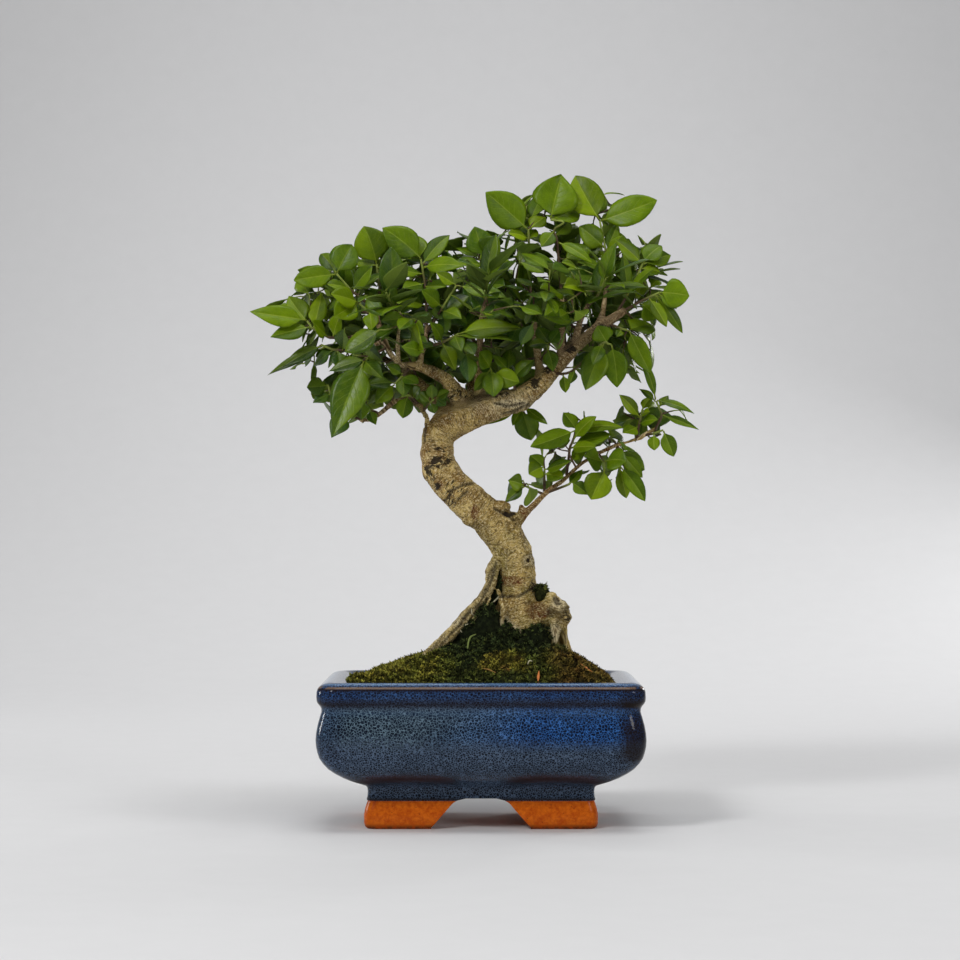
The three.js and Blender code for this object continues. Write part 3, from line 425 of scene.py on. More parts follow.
def leaf_material():
    """Privet leaves. "blade" holds how far across (-1 to 1), along (0 to 1), and mm from the midrib; "leaf"
    holds how young the leaf is with painted shade added, a number of its own, and 1 on its upper face."""
    m = Nodes("privet_leaf")
    across, along, from_midrib = m.parts(m.attribute("blade"))
    youth, own, upper = m.parts(m.attribute("leaf"))
    position = m.position()
    cloud = m.noise(position, 150.0, 4.0, 0.65)
    net = m.cells(position, 900.0, "DISTANCE_TO_EDGE")
    aside = m.math("ABSOLUTE", across)
    # Painted shade on one half of each leaf and painted light on the other, as light falls on a folded leaf.
    # The leaf's own number picks the side and how strong it is.
    half = m.times(m.span(across, -0.12, 0.12, -1.0, 1.0), m.span(own, 0.0, 1.0, -1.0, 1.0))
    shade = m.plus(youth, m.times(m.math("SUBTRACT", cloud, 0.5), 0.9))
    side_veins = m.plus(m.times(along, 8.0), m.times(aside, -2.4))
    ripple = m.math("ABSOLUTE", m.math("SUBTRACT", m.math("FRACT", side_veins), 0.5))
    vein = m.times(m.span(ripple, 0.08, 0.0), m.span(aside, 0.95, 0.5))
    midrib = m.times(m.span(from_midrib, 0.42, 0.08), m.span(along, 1.0, 0.75))
    green = m.layered(
        m.mix(m.span(shade, 0.0, 1.0), m.mix(own, "103a08", "2a5e10"), m.mix(own, "668a00", "90a800")),
        (m.span(half, 0.0, 1.0, 0.0, 0.42), "0e2a08"),
        (m.span(half, 0.0, -1.0, 0.0, 0.2), "a8be24"),
        (m.span(net, 0.12, 0.03, 0.0, 0.16), "98ac2e"),
        (m.times(vein, 0.22), "96aa2c"),
        (m.times(midrib, m.span(youth, 0.1, 0.8, 0.2, 0.5)), "b3c04a"),
        (m.times(m.span(along, 0.12, 0.02), 0.8), "8f9a3a"),
        (m.span(aside, 0.93, 1.0, 0.0, 0.35), "2a3a0a"))
    colour = m.mix(upper, m.mix(0.4, green, "8c9c4c"), green)
    height = m.plus(m.times(vein, -0.5), m.times(m.noise(position, 500.0), 0.6))
    normal = m.bump(height, 0.4, 0.0005)
    roughness = m.plus(m.span(upper, 0.0, 1.0, 0.6, 0.24), m.times(cloud, 0.2))
    gloss = m.span(youth, 0.65, 0.15, 0.2, 0.42)
    face = m.principled(colour, roughness, Normal=normal, Specular_IOR_Level=gloss)
    glow = m.node("BsdfTranslucent", {"Color": m.mix(0.5, green, "a2b804"), "Normal": normal}).outputs[0]
    return m.finish(m.node("MixShader", {0: 0.34, 1: face, 2: glow}).outputs[0])


def twig_material():
    """Twigs from dark bark at the root to green at the tip. "age" is 1 at the root and 0 at the tip."""
    m = Nodes("privet_twig")
    grain = m.noise(m.vector_math("MULTIPLY", m.position(), (1.0, 1.0, 0.35)), 900.0)
    colour = m.mix(m.span(m.attribute("age", "Fac"), 0.15, 0.6), m.mix(grain, "5f7226", "949f4a"),
                   m.mix(grain, "241a12", "6b553c"))
    return m.surface(colour, m.span(grain, 0.0, 1.0, 0.55, 0.85), m.bump(grain, 0.5, 0.0004), 0.25)


def bark_material():
    """Tan bark. "wood" holds how dark and rough the place is, with painted shade in the eye, the left bend
    and the fork, how green, and how reddish it is; "wear" holds the painted shade in clefts, creases and
    hollows, how bleached, and how far up among the leaves it is; "run" is the place along and across its
    limb."""
    m = Nodes("privet_bark")
    dark, green, red = m.parts(m.attribute("wood"))
    cleft_shade, bleached, crown = m.parts(m.attribute("wear_and_shade"))
    run = m.attribute("run")
    broad = m.noise(m.position(), 90.0, 4.0, 0.6)
    fine, grain, wrinkle, flakes = (
        m.noise(m.vector_math("MULTIPLY", run, (along, across, across)), *kind)
        for along, across, *kind in (
            (1.5, 0.8, 900.0, 4.0, 0.7, 0.5), (1.4, 0.7, 340.0, 4.0, 0.7, 0.8),
            (2.4, 0.5, 420.0, 3.0, 0.6, 1.0), (1.2, 0.8, 260.0, 5.0, 0.75, 0.6)))
    flaky = m.plus(dark, m.times(m.math("SUBTRACT", flakes, 0.5), 3.2))
    colour = m.layered(
        m.mix(m.span(broad, 0.4, 0.62), "8a6a34", "caac64"),
        (m.times(green, m.span(broad, 0.6, 0.4, 0.2, 0.75)), "9c9046"),
        (m.span(grain, 0.5, 0.62, 0.0, 0.45), "dcc68a"),
        (m.span(grain, 0.47, 0.36, 0.0, 0.45), "6a4a24"),
        (m.span(fine, 0.52, 0.63, 0.0, 0.75), "f2e4b8"),
        (m.span(fine, 0.46, 0.36, 0.0, 0.75), "35240e"),
        (m.span(wrinkle, 0.46, 0.38, 0.0, 0.75), "46341c"),
        (m.times(red, m.span(fine, 0.56, 0.42, 0.3, 0.95)), "5a2812"),
        (m.times(crown, 0.7), m.mix(m.span(fine, 0.35, 0.65), "30241a", "a48c6c")),
        (m.times(bleached, 0.8), m.mix(m.span(fine, 0.4, 0.55), "5c4c34", "dccda4")),
        (m.times(m.span(flaky, 0.5, 0.75), 0.94), "1c150e"),
        # Painted shade in clefts, creases and hollows.
        (m.times(cleft_shade, m.span(fine, 0.3, 0.6, 0.95, 0.7)), "241b13"))
    height = m.plus(m.times(fine, 0.9), m.plus(grain, m.times(wrinkle, 0.9)))
    return m.surface(colour, m.span(fine, 0.2, 0.8, 0.68, 0.92), m.bump(height, 0.9, 0.0009), 0.22)


def glaze_material():
    """Speckled blue glaze and bare clay. "clay" holds how bare the clay is, how thin the glaze is on an edge,
    and how lively the speckle is; "tint" holds how blue the place is, its painted highlight and reflection,
    and how dark it is, from a darker rim band, dark glaze lines, worn feet, and painted shade on the corners
    and over the feet."""
    m = Nodes("speckled_glaze")
    bare, edge, lively = m.parts(m.attribute("clay"))
    blue, pale, dark_marks_and_shade = m.parts(m.attribute("tint"))
    position = m.position()
    cloud = m.noise(position, 40.0, 4.0, 0.6)
    drift = m.node("TexNoise", {"Vector": position, "Scale": 400.0}).outputs["Color"]
    wobble = m.vector_math("ADD", position, m.vector_math("MULTIPLY", drift, (0.0016,) * 3))
    spots = m.cells(wobble, 600.0, "DISTANCE_TO_EDGE")
    grit = m.cells(wobble, 720.0, "DISTANCE_TO_EDGE")
    fleck = m.noise(position, 1100.0, 3.0, 0.7)
    dusty = m.mix(blue, m.mix(cloud, "3c4c60", "687c98"), m.mix(cloud, "2e486e", "4c6a96"))
    quiet = m.mix(m.span(grit, 0.15, 0.02), m.mix(blue, "0c121c", "080f22"), dusty)
    net = m.mix(blue, m.mix(cloud, "30465a", "809aa8"), m.mix(cloud, "1e468a", "4480cc"))
    dots = m.mix(m.span(spots, 0.09, 0.025), m.mix(cloud, "02040a", "081020"), net)
    clay_grain = m.noise(position, 330.0, 5.0, 0.7)
    pit = m.cells(position, 300.0)
    clay = m.layered(
        m.mix(m.span(clay_grain, 0.3, 0.7), "ae460a", "d66c16"),
        (m.span(pit, 0.12, 0.05, 0.0, 0.8), "4a2008"),
        (m.times(dark_marks_and_shade, m.span(clay_grain, 0.3, 0.6)), "5a2c12"))
    colour = m.layered(
        m.mix(lively, quiet, dots),
        # Painted highlight on the lip's top and painted reflection round the neck.
        (pale, m.mix(m.span(fleck, 0.4, 0.6), "1c3a68", "7ea2c8")),
        # Dark glaze lines and worn feet, with painted shade on the corners and in the crescents over the
        # feet.
        (dark_marks_and_shade, m.mix(fleck, "0b0807", "241a18")),
        (edge, m.mix(fleck, "4a3422", "8a7058")),
        (bare, clay))
    height = m.plus(m.times(spots, m.times(lively, -0.5)), m.times(m.span(pit, 0.05, 0.2), bare))
    low_down = m.span(m.parts(position)[2], 0.038, 0.034, 0.0, 0.4)
    roughness = m.plus(m.span(bare, 0.0, 1.0, 0.06, 0.22), m.times(fleck, 0.05))
    roughness = m.plus(roughness, m.times(dark_marks_and_shade, low_down))
    return m.surface(colour, roughness, m.bump(height, 0.25, 0.0004), 0.1)


def moss_material():
    """Moss. "patch" holds how yellow, how dark and how brown the place is; "tip" holds painted light and
    shade:
    1 at a tuft's lit tip or on a cushion's crest, and 0 in the gaps, which are painted near black as shade."""
    m = Nodes("moss")
    yellow, dark, brown = m.parts(m.attribute("patch"))
    position = m.position()
    grain = m.noise(position, 900.0, 3.0, 0.7)
    colour = m.layered(
        m.mix(m.span(grain, 0.35, 0.65), "56621e", "bcc458"),
        (m.times(yellow, m.span(grain, 0.25, 0.55)), "ccbc4c"),
        (m.times(brown, m.span(grain, 0.3, 0.5, 0.5, 0.95)), m.mix(grain, "5d3c1c", "c89450")),
        (m.times(dark, 0.88), m.mix(grain, "0c120a", "4c6440")),
        # Painted shade: near black at the leaflets' feet, on the mat and in the gaps.
        (m.span(m.attribute("tip", "Fac"), 0.62, 0.0, 0.0, 0.97), "060804"))
    height = m.plus(grain, m.times(m.cells(position, 300.0), -1.0))
    return m.surface(colour, 0.95, m.bump(height, 0.9, 0.0012), 0.1)


def litter_material():
    """Rootlets, stalks and dry bits that lie on the moss. "kind" goes from pale over green to orange."""
    m = Nodes("litter")
    kind = m.attribute("kind", "Fac")
    grain = m.noise(m.position(), 1200.0)
    colour = m.layered(
        m.mix(grain, "8c8460", "d6d0b0"), (m.span(kind, 0.0, 0.5), m.mix(grain, "4c5c24", "8c9a4c")),
        (m.span(kind, 0.5, 1.0), m.mix(grain, "a8541c", "e08c44")))
    return m.surface(colour, m.span(grain, 0.0, 1.0, 0.5, 0.8), m.bump(grain, 0.4, 0.0003))


def soil_material():
    m = Nodes("potting_soil")
    grain = m.noise(m.position(), 700.0, 5.0, 0.7)
    crumb = m.cells(m.position(), 300.0)
    colour = m.mix(m.span(grain, 0.3, 0.7), "1d140d", "4c3826")
    colour = m.mix(m.span(crumb, 0.12, 0.04), colour, "8a7556")
    return m.surface(colour, 0.95, m.bump(m.math("SUBTRACT", grain, crumb), 1.0, 0.002))


def screen_material():
    m = Nodes("drain_screen_plastic")
    grain = m.noise(m.position(), 1500.0)
    colour = m.mix(grain, "17191a", "2b2e2d")
    return m.surface(colour, m.span(grain, 0.0, 1.0, 0.5, 0.65), m.bump(grain, 0.2, 0.0003))


def dress(piece, slot, *nodes):
    """A finished piece rides on the one body and may take the place of CAD nodes. The slot is not used."""
    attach(piece, "root")
    if nodes:
        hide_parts(*nodes)


def coat(mesh, material):
    mesh.materials.clear()
    mesh.materials.append(material)


coat(frame["nodes"]["soil"].data, soil_material())
SCREEN = screen_material()
for side in ("left", "right"):
    coat(frame["nodes"][f"drain_screen_{side}"].data, SCREEN)

# Reading the leaves and stems that the CAD shoots hold

BLADE_THICKNESS = 0.72 * MM
THICKNESS_SLACK = 0.004 * MM
# A CAD blade has a rim of 7 or 5 walls: one at the tip and the others in pairs across from each other. The
# first pair lies at this share of the length, and the pairs are this wide apart, as shares of the width.
ROW_SHARES = {7: 0.2, 5: 0.3}
ROW_WIDTHS = {7: (0.72, 1.0, 0.64), 5: (0.92, 0.86)}
# A stem's points are farther than this share of a blade's length from the blade's middle.
STEM_CLEARANCE = 0.35
# How far the points of a stem's root, and of each ring along it, reach, and where the rings start.
ROOT_REACH = 2.3 * MM
RING_REACH = 1.9 * MM
RINGS_START = 1.6 * MM


def blade_from(walls):
    """Base, tip, facing and width of the blade whose rim holds these wall edges, one (2, 3) array each."""
    middles = walls.mean(axis=1)
    up = walls[0, 0] - walls[0, 1]
    for wall in walls[1:]:
        step = wall[0] - wall[1]
        up = up + (step if step.dot(up) > 0 else -step)
    up = unit(up)
    count = len(walls)
    best = None
    for tip in range(count):
        for pairs in pairings([k for k in range(count) if k != tip]):
            spans = [middles[a] - middles[b] for a, b in pairs]
            side = unit(spans[0])
            skew = sum(np.linalg.norm(np.cross(side, unit(span))) for span in spans) + abs(side.dot(up))
            along = np.cross(up, side)
            centres = [(middles[a] + middles[b]) / 2 for a, b in pairs]
            if along.dot(middles[tip] - centres[0]) < 0:
                along = -along
            reach = [along.dot(middles[tip] - centre) for centre in centres]
            order = np.argsort(reach)[::-1]
            widths = [np.linalg.norm(spans[k]) / part for k, part in zip(order, ROW_WIDTHS[count])]
            skew += (max(widths) - min(widths)) / max(widths)
            skew += abs((middles[tip] - centres[order[0]]).dot(side)) / max(reach)
            if min(reach) > 0 and (best is None or skew < best[0]):
                best = (skew, tip, along, reach[order[0]], np.mean(widths), centres[order[0]])
    _, tip, along, reach, width, low_centre = best
    length = reach / (1 - ROW_SHARES[count])
    if (low_centre - middles[tip]).dot(up) < 0:
        up = -up
    return {"base": middles[tip] - along * length, "tip": middles[tip], "up": up, "width": width}


def pairings(items):
    """All ways to put items in pairs."""
    if not items:
        yield []
        return
    first, rest = items[0], items[1:]
    for k, other in enumerate(rest):
        for others in pairings(rest[:k] + rest[k + 1:]):
            yield [(first, other), *others]


def groups_of(count, links):
    """Which items hang together through links."""
    parent = list(range(count))

    def root(k):
        while parent[k] != k:
            k = parent[k]
        return k

    for a, b in links:
        parent[root(a)] = root(b)
    found = {}
    for k in range(count):
        found.setdefault(root(k), []).append(k)
    return list(found.values())


def within(points, place, reach):
    """Which points are nearer to a place than the reach."""
    return np.linalg.norm(points - place, axis=1) < reach


def read_shoot(node):
    """The blades and the stem's middle line, from its root on, of a CAD shoot."""
    points, faces = welded(node)
    edges = edges_of(faces)
    lengths = np.linalg.norm(points[edges[:, 0]] - points[edges[:, 1]], axis=1)
    walls = edges[np.abs(lengths - BLADE_THICKNESS) < THICKNESS_SLACK]
    owner = {v: k for k, wall in enumerate(walls.tolist()) for v in wall}
    links = [(owner[a], owner[b]) for a, b in edges.tolist() if a in owner and b in owner]
    groups = [group for group in groups_of(len(walls), links) if len(group) in ROW_WIDTHS]
    blades = [blade_from(points[walls[group]]) for group in groups]
    stem = np.array([p for k, p in enumerate(points) if k not in owner])
    for blade in blades:
        middle = (blade["base"] + blade["tip"]) / 2
        reach = STEM_CLEARANCE * np.linalg.norm(blade["tip"] - blade["base"])
        stem = stem[~within(stem, middle, reach)]
    distances = np.array([TREE_BVH.find_nearest(Vector(p))[3] for p in stem])
    root = stem[within(stem, stem[distances.argmin()], ROOT_REACH)].mean(axis=0)
    line, left = [], stem[~within(stem, root, RINGS_START)]
    while len(left):
        near = left[np.linalg.norm(left - root, axis=1).argmin()]
        for _ in range(3):
            near = left[within(left, near, RING_REACH)].mean(axis=0)
        line.append(near)
        left = left[~within(left, near, RING_REACH)]
    return blades, np.array([root, *sorted(line, key=lambda p: np.linalg.norm(p - root))])


def solid(node):
    """A CAD node's points and triangles, and the tree that finds what lies near them."""
    points, faces = welded(node)
    return points, faces, BVHTree.FromPolygons([Vector(p) for p in points], faces.tolist())


TREE_POINTS, TREE_FACES, TREE_BVH = solid("tree")
MOSS_POINTS, MOSS_FACES, MOSS_BVH = solid("moss")
SHOOTS = {name: read_shoot(name) for name in sorted(frame["nodes"]) if name.startswith("shoot_")}

# Leaves

FINE_ROWS = 12
FINE_COLUMNS = np.array([-1, -0.74, -0.44, -0.13, 0, 0.13, 0.44, 0.74, 1])
PLAIN_ROWS = 8
PLAIN_COLUMNS = np.array([-1, -0.55, 0, 0.55, 1])
OUTLINE_SHARES = [0, 0.04, 0.1, 0.2, 0.33, 0.46, 0.6, 0.74, 0.86, 0.94, 1]
BLUNT_WIDTHS = np.array([0, 0, 0.34, 0.76, 0.96, 1, 0.97, 0.82, 0.55, 0.28, 0.03])
POINTED_WIDTHS = np.array([0, 0, 0.36, 0.8, 1, 0.97, 0.82, 0.56, 0.29, 0.13, 0.02])
PETIOLE_LENGTH = 2.6 * MM
PETIOLE_HALF = 0.55 * MM
LEAF_HALF_THICKNESS = 0.18 * MM
BASE_HALF_THICKNESS = 0.3 * MM
GROOVE_DEPTH = 0.16 * MM
GROOVE_WIDTH = 0.5 * MM


def leaf_mesh(blade, draw, rows, columns):
    """One closed leaf: points in a grid over its upper and lower face, quads, and its two attributes. The
    draw holds numbers from 0 to 1 that make it fold, curl, wave and bend in its own way."""
    base, tip, width, pointed = blade["base"], blade["tip"], blade["width"], blade["pointed"]
    length = np.linalg.norm(tip - base)
    along = (tip - base) / length
    up = unit(blade["up"] - along * blade["up"].dot(along))
    side = np.cross(along, up)
    petiole = min(0.16, PETIOLE_LENGTH / length + 0.02)
    share = 0.5 - 0.5 * np.cos(np.linspace(0, math.pi, rows + 1))
    share = 0.35 * np.linspace(0, 1, rows + 1) + 0.65 * share
    body = np.clip((share - petiole * 0.55) / (1 - petiole * 0.55), 0, 1)
    widths = (1 - pointed) * BLUNT_WIDTHS + pointed * POINTED_WIDTHS
    half = 0.5 * width * np.interp(body, OUTLINE_SHARES, widths)
    half = np.maximum(half, PETIOLE_HALF * np.interp(share, [0, petiole, 1], [1, 0.8, 0.12]))
    fold = 0.08 + 0.26 * draw[0]
    curl = 0.03 + 0.1 * (draw[1] - 0.3)
    wave = 0.05 * width * (draw[2] - 0.1)
    u = columns[None, :]
    v = share[:, None]
    h = half[:, None] * u
    lift = 4 * curl * length * v * (1 - v) + fold * np.abs(h) * smoothstep(0.03, 0.2, v)
    lift = lift - 1.5 * fold * h * h / width
    lift = lift + wave * np.sin(8 * v + 6 * draw[3] + 1.4 * np.sign(u)) * np.abs(u) ** 2
    bend = (draw[4] - 0.5) * 0.3 * length * v * (1 - v)
    middle = base + v[..., None] * length * along + lift[..., None] * up + (h + bend)[..., None] * side
    groove = GROOVE_DEPTH * bell(h, 0, GROOVE_WIDTH) * smoothstep(0.04, 0.14, v) * (1 - smoothstep(0.7, 1, v))
    thick = LEAF_HALF_THICKNESS * (1 - 0.55 * np.abs(u) ** 4)
    thick = thick + BASE_HALF_THICKNESS * (1 - smoothstep(0.0, 0.1, v)) * (1 - np.abs(u) ** 2)
    upper = middle + (thick - groove)[..., None] * up
    lower = middle - (thick + groove)[..., None] * up
    count, across = upper.shape[:2]
    size = count * across
    r, c = np.meshgrid(np.arange(count - 1), np.arange(across - 1), indexing="ij")
    a = (r * across + c).ravel()
    top = np.stack([a, a + 1, a + across + 1, a + across], axis=1)
    ring = np.concatenate([
        np.arange(across), across * np.arange(1, count) + across - 1,
        (count - 1) * across + np.arange(across - 2, -1, -1), across * np.arange(count - 2, 0, -1)])
    following = np.roll(ring, -1)
    wall = np.stack([following, ring, ring + size, following + size], axis=1)
    quads = np.vstack([top, top[:, ::-1] + size, wall])
    grid = np.stack(np.broadcast_arrays(u, v, np.abs(h) / MM), axis=-1).reshape(-1, 3)
    leaf_values = np.zeros((2 * size, 3))
    leaf_values[:, :2] = blade["youth"], draw[5]
    leaf_values[:size, 2] = 1
    points = np.vstack([upper.reshape(-1, 3), lower.reshape(-1, 3)])
    return points, quads, np.vstack([grid, grid]), leaf_values


class Bunch:
    """Closed shapes that become one piece, each with its material's number and with values at its points."""

    def __init__(self):
        self.count = 0
        self.points, self.faces, self.slots, self.values = [], ([], []), ([], []), {}

    def add(self, points, quads, triangles, slot, **values):
        for kind, faces in enumerate((quads, triangles)):
            self.faces[kind].append(faces + self.count)
            self.slots[kind].append(np.full(len(faces), slot))
        for name, value in values.items():
            self.values.setdefault(name, []).append(value)
        self.points.append(points)
        self.count += len(points)

    def add_leaf(self, blade, draw, rows=PLAIN_ROWS, columns=PLAIN_COLUMNS):
        points, quads, places, leaf = leaf_mesh(blade, draw, rows, columns)
        self.add(points, quads, np.zeros((0, 3), int), 0, blade=places, leaf=leaf, age=np.zeros(len(points)))

    def add_twig(self, line, radii, ages, sides=7):
        points, *faces = tube(line, radii, sides)
        ages = np.concatenate([np.repeat(ages, sides), [ages[0], ages[-1]]])
        self.add(points, *faces, 1, blade=np.zeros_like(points), leaf=np.zeros_like(points), age=ages)

    def piece(self, name, materials):
        faces = [np.vstack(faces) for faces in self.faces]
        made = mesh_object(name, np.vstack(self.points), faces, materials)
        slots = np.concatenate([*self.slots[0], *self.slots[1]])
        made.data.polygons.foreach_set("material_index", slots.astype(np.int32))
        for key, values in self.values.items():
            set_attribute(made.data, key, np.concatenate(values))
        return made


# How young and yellow-green each shoot's leaves are, from 0 to 1. The numbers also hold painted light and
# shade, so lit shoots come out lighter and shaded ones darker.
YOUTH_AND_SHADE = {
    "top_left": 0.7, "top_middle": 0.6, "top_right": 0.55, "right_crest": 0.5, "right_end": 0.55,
    "right_hanging": 0.5, "right_under": 0.5, "lower_tip": 0.5, "lower_round": 0.6, "lower_top": 0.6,
    "lower_hanging": 0.7, "lower_wide": 0.6, "lower_middle": 0.65, "lower_inner": 0.5, "lower_twiglet": 0.5,
    "lower_pair": 0.45, "under_bough": 0.45, "left_outer_top": 0.5, "left_top": 0.52, "left_top_inner": 0.56,
    "centre_top": 0.4, "centre_front": 0.5, "centre_long": 0.5, "left_far": 0.72, "left_yellow": 0.78,
    "left_dark": 0.2, "left_big": 0.34, "left_low": 0.25, "left_low_middle": 0.35, "left_low_round": 0.4,
    "centre_hanging": 0.5, "centre_inner": 0.35, "centre_low": 0.4, "left_inner": 0.35, "left_low_inner": 0.3,
}
FILLING_YOUTH_AND_SHADE = 0.32
# How pointed some shoots' leaves are, from 0 to 1. The others vary.
POINTED = {
    "left_big": 0.97, "left_dark": 0.95, "left_far": 0.7, "left_outer_top": 0.05, "left_yellow": 0.1,
    "left_top": 0.25, "lower_round": 0.05, "lower_wide": 0.1, "lower_pair": 0.85, "lower_tip": 0.95,
    "centre_long": 0.95, "centre_hanging": 0.1, "top_left": 0.35, "left_low_round": 0.05, "right_end": 0.3,
}

# Which shoots are joined into one piece, by how their names begin.
GROUPS = {
    "leaves_top": ("top_",),
    "leaves_right": ("right_",),
    "leaves_lower_branch": ("lower_", "under_bough"),
    "leaves_left_upper": ("left_outer", "left_top", "left_yellow"),
    "leaves_left_lower": ("left_far", "left_dark", "left_big", "left_low", "left_inner"),
    "leaves_centre": ("centre_",),
    "leaves_back_left": tuple(f"filling_{k}_" for k in (1, 2, 3, 4, 5, 18)),
    "leaves_back_middle": tuple(f"filling_{k}_" for k in (6, 7, 8, 9, 10, 16, 17)),
    "leaves_back_right": tuple(f"filling_{k}_" for k in (11, 12, 13, 14, 15, 19)),
}
STEM_RADIUS = 1.0 * MM
# How far a stem's root is sunk into the wood.
ROOT_DEPTH = 3.2 * MM


def group_of(shoot):
    return next(group for group, starts in GROUPS.items() if (shoot + "_").startswith(starts))


def grow_shoot(bunch, shoot, random):
    blades, line = SHOOTS["shoot_" + shoot]
    youth = YOUTH_AND_SHADE.get(shoot, FILLING_YOUTH_AND_SHADE)
    path = catmull(np.vstack([line[0] + ROOT_DEPTH * unit(line[0] - line[1]), line]), 6)
    places = np.linspace(0, 1, len(path))
    bunch.add_twig(path, STEM_RADIUS * (1 - 0.35 * places), 1 - places)
    for blade in blades:
        blade["youth"] = float(np.clip(youth + 0.2 * (random.random() - 0.5), 0, 1))
        draw = random.random(8)
        blade["pointed"] = POINTED.get(shoot, 0.1 + 0.8 * draw[6])
        bunch.add_leaf(blade, draw, FINE_ROWS, FINE_COLUMNS)
    return path


# Twigs and leaves that fill the crown among the shoots of the frame

# The crown's and the lower branch's outlines as seen from the front: [x, z] in mm from the pot's middle.
CROWN_OUTLINE = [
    (-146, 321), (-116, 332), (-117, 347), (-104, 353), (-95, 364), (-80, 362), (-76, 375), (-51, 376),
    (-33, 361), (-20, 370), (-4, 374), (16, 374), (6, 382), (3, 395), (30, 394), (40, 404), (51, 408),
    (68, 406), (82, 395), (102, 398), (111, 393), (104, 380), (88, 374), (90, 367), (104, 368), (118, 361),
    (120, 356), (115, 346), (123, 344), (131, 332), (122, 326), (127, 309), (113, 316), (111, 291),
    (106, 278), (98, 272), (88, 277), (70, 271), (60, 283), (50, 280), (33, 262), (14, 254), (-8, 247),
    (-24, 246), (-36, 257), (-48, 255), (-58, 259), (-77, 247), (-83, 249), (-95, 242), (-100, 259),
    (-110, 271), (-106, 283), (-134, 281), (-127, 285), (-117, 302), (-133, 305), (-132, 312),
]
BRANCH_OUTLINE = [
    (14, 200), (16, 216), (28, 221), (25, 240), (24, 256), (40, 258), (54, 260), (75, 257), (93, 262),
    (104, 268), (114, 268), (134, 257), (136, 250), (114, 249), (125, 245), (126, 236), (114, 236),
    (103, 232), (104, 201), (86, 214), (69, 202), (55, 212), (39, 205), (28, 193),
]
# Gaps through which the background shows from the front: [x, z, radius].
SKY = [
    (78, 329, 6), (65, 380, 5.5), (-99, 295, 5), (81, 363, 3.5), (37, 373, 3), (44, 360, 3), (26, 345, 3),
    (41, 349, 3), (-97, 280, 3), (-19, 343, 2.5), (86, 313, 2.5), (36, 344, 2.5), (23, 332, 2.5),
    (-12, 279, 2.5), (28, 328, 2.5), (-80, 262, 4), (-30, 259, 4), (-68, 256, 3), (40, 254, 5), (55, 244, 4),
    (92, 242, 3),
]
# The trunk and the left bough as seen from the front, which stay in sight: [x, z, radius].
OPEN_LIMBS = [
    (23, 157, 11.4), (20, 168, 12.2), (15, 178, 13), (10, 185, 12.5), (4, 191, 12), (-6, 199, 11.7),
    (-19, 211, 10.9), (-26, 221, 11.5), (-28, 231, 10.9), (-27, 243, 10.6), (-20, 251, 11.4), (-14, 254, 11),
    (-7, 256, 10.6), (4, 260, 9.4), (14, 262, 8.6), (25, 266, 7.9), (33, 271, 6.8), (40, 277, 5.9),
    (50, 288, 4.9), (60, 298, 4), (67, 305, 3.7), (74, 310, 3.4), (82, 316, 3), (91, 321, 2.3),
    (-15, 268, 6.5), (-22, 278, 4.6), (-30, 282, 3.5), (-36, 284, 3.3), (-41, 286, 3.1), (-52, 287, 2.9),
    (-58, 296, 2.6),
]
# How many of them, from the first on, are the trunk with the right bough.
TRUNK_PLACES = 29
# Leaves in front of this depth stay clear of those limbs by this margin in mm.
LIMB_FRONT = POT_Y + 4 * MM
OPEN_MARGIN = 3
WOOD_CLEARANCE = 2 * MM
CROWN_MIDDLE = np.array([POT_X, POT_Y + 8 * MM, 0.296])
# Each region of leaves: its outline, how deep it is to each side, how far in from its outline it is that
# deep, and the y of its middle.
REGIONS = [(CROWN_OUTLINE, 84, 36, 8), (BRANCH_OUTLINE, 34, 22, 0)]
DRAWS = 9000
# The most places that one list of places can hold.
ROOM = 60000
BOUGHS_START = 262 * MM
TARGET_SPACING = 10.5 * MM
LEAF_SPACING = 3.1 * MM
EDGE_MARGIN = 1.2 * MM
SHORTEST_TWIG = 5 * MM
LONGEST_TWIG = 36 * MM
# Twigs longer than these bear another pair of leaves.
PAIR_LENGTHS = (13 * MM, 24 * MM)
LEAST_LEAF = 13
MORE_LEAF = 13
DROOP = 0.28


def front_view(points):
    """Where places are seen from the front: x and z on the plane through the pot's middle, in mm."""
    share = (POT_Y - CAMERA.y) / (points[:, 1] - CAMERA.y)
    x = CAMERA.x + (points[:, 0] - CAMERA.x) * share - POT_X
    z = CAMERA.z + (points[:, 2] - CAMERA.z) * share
    return np.stack([x, z], axis=1) / MM


def seen_at(x, z, y):
    """The place at depth y that the front view shows at x and z in mm."""
    share = (y - CAMERA.y) / (POT_Y - CAMERA.y)
    place = CAMERA.x + (POT_X + x * MM - CAMERA.x) * share, y, CAMERA.z + (z * MM - CAMERA.z) * share
    return np.stack(place, axis=-1)


def sight_hit(x, z, lift):
    """Where the line of sight through x and z, in mm on the plane through the pot's middle, meets the tree or
    the moss, or ends before that. The lift is how far in front of it the place is, in mm."""
    way = (Vector((POT_X + x * MM, POT_Y, z * MM)) - CAMERA).normalized()
    hits = [bvh.ray_cast(CAMERA, way)[3] for bvh in (TREE_BVH, MOSS_BVH)]
    return np.array(CAMERA + way * (min(hit for hit in [*hits, SIGHT_END] if hit) - lift * MM))


# The blades of the shoots that are seen from the front, as they are seen.
SHOWN = [blade for name, (blades, _) in SHOOTS.items() if "filling" not in name for blade in blades]
SHOWN_BASE = front_view(np.array([blade["base"] for blade in SHOWN]))
SHOWN_WAY = front_view(np.array([blade["tip"] for blade in SHOWN])) - SHOWN_BASE
SHOWN_LENGTH = np.linalg.norm(SHOWN_WAY, axis=1)
SHOWN_WAY /= SHOWN_LENGTH[:, None]
SHOWN_Y = np.array([(blade["base"][1] + blade["tip"][1]) / 2 for blade in SHOWN])


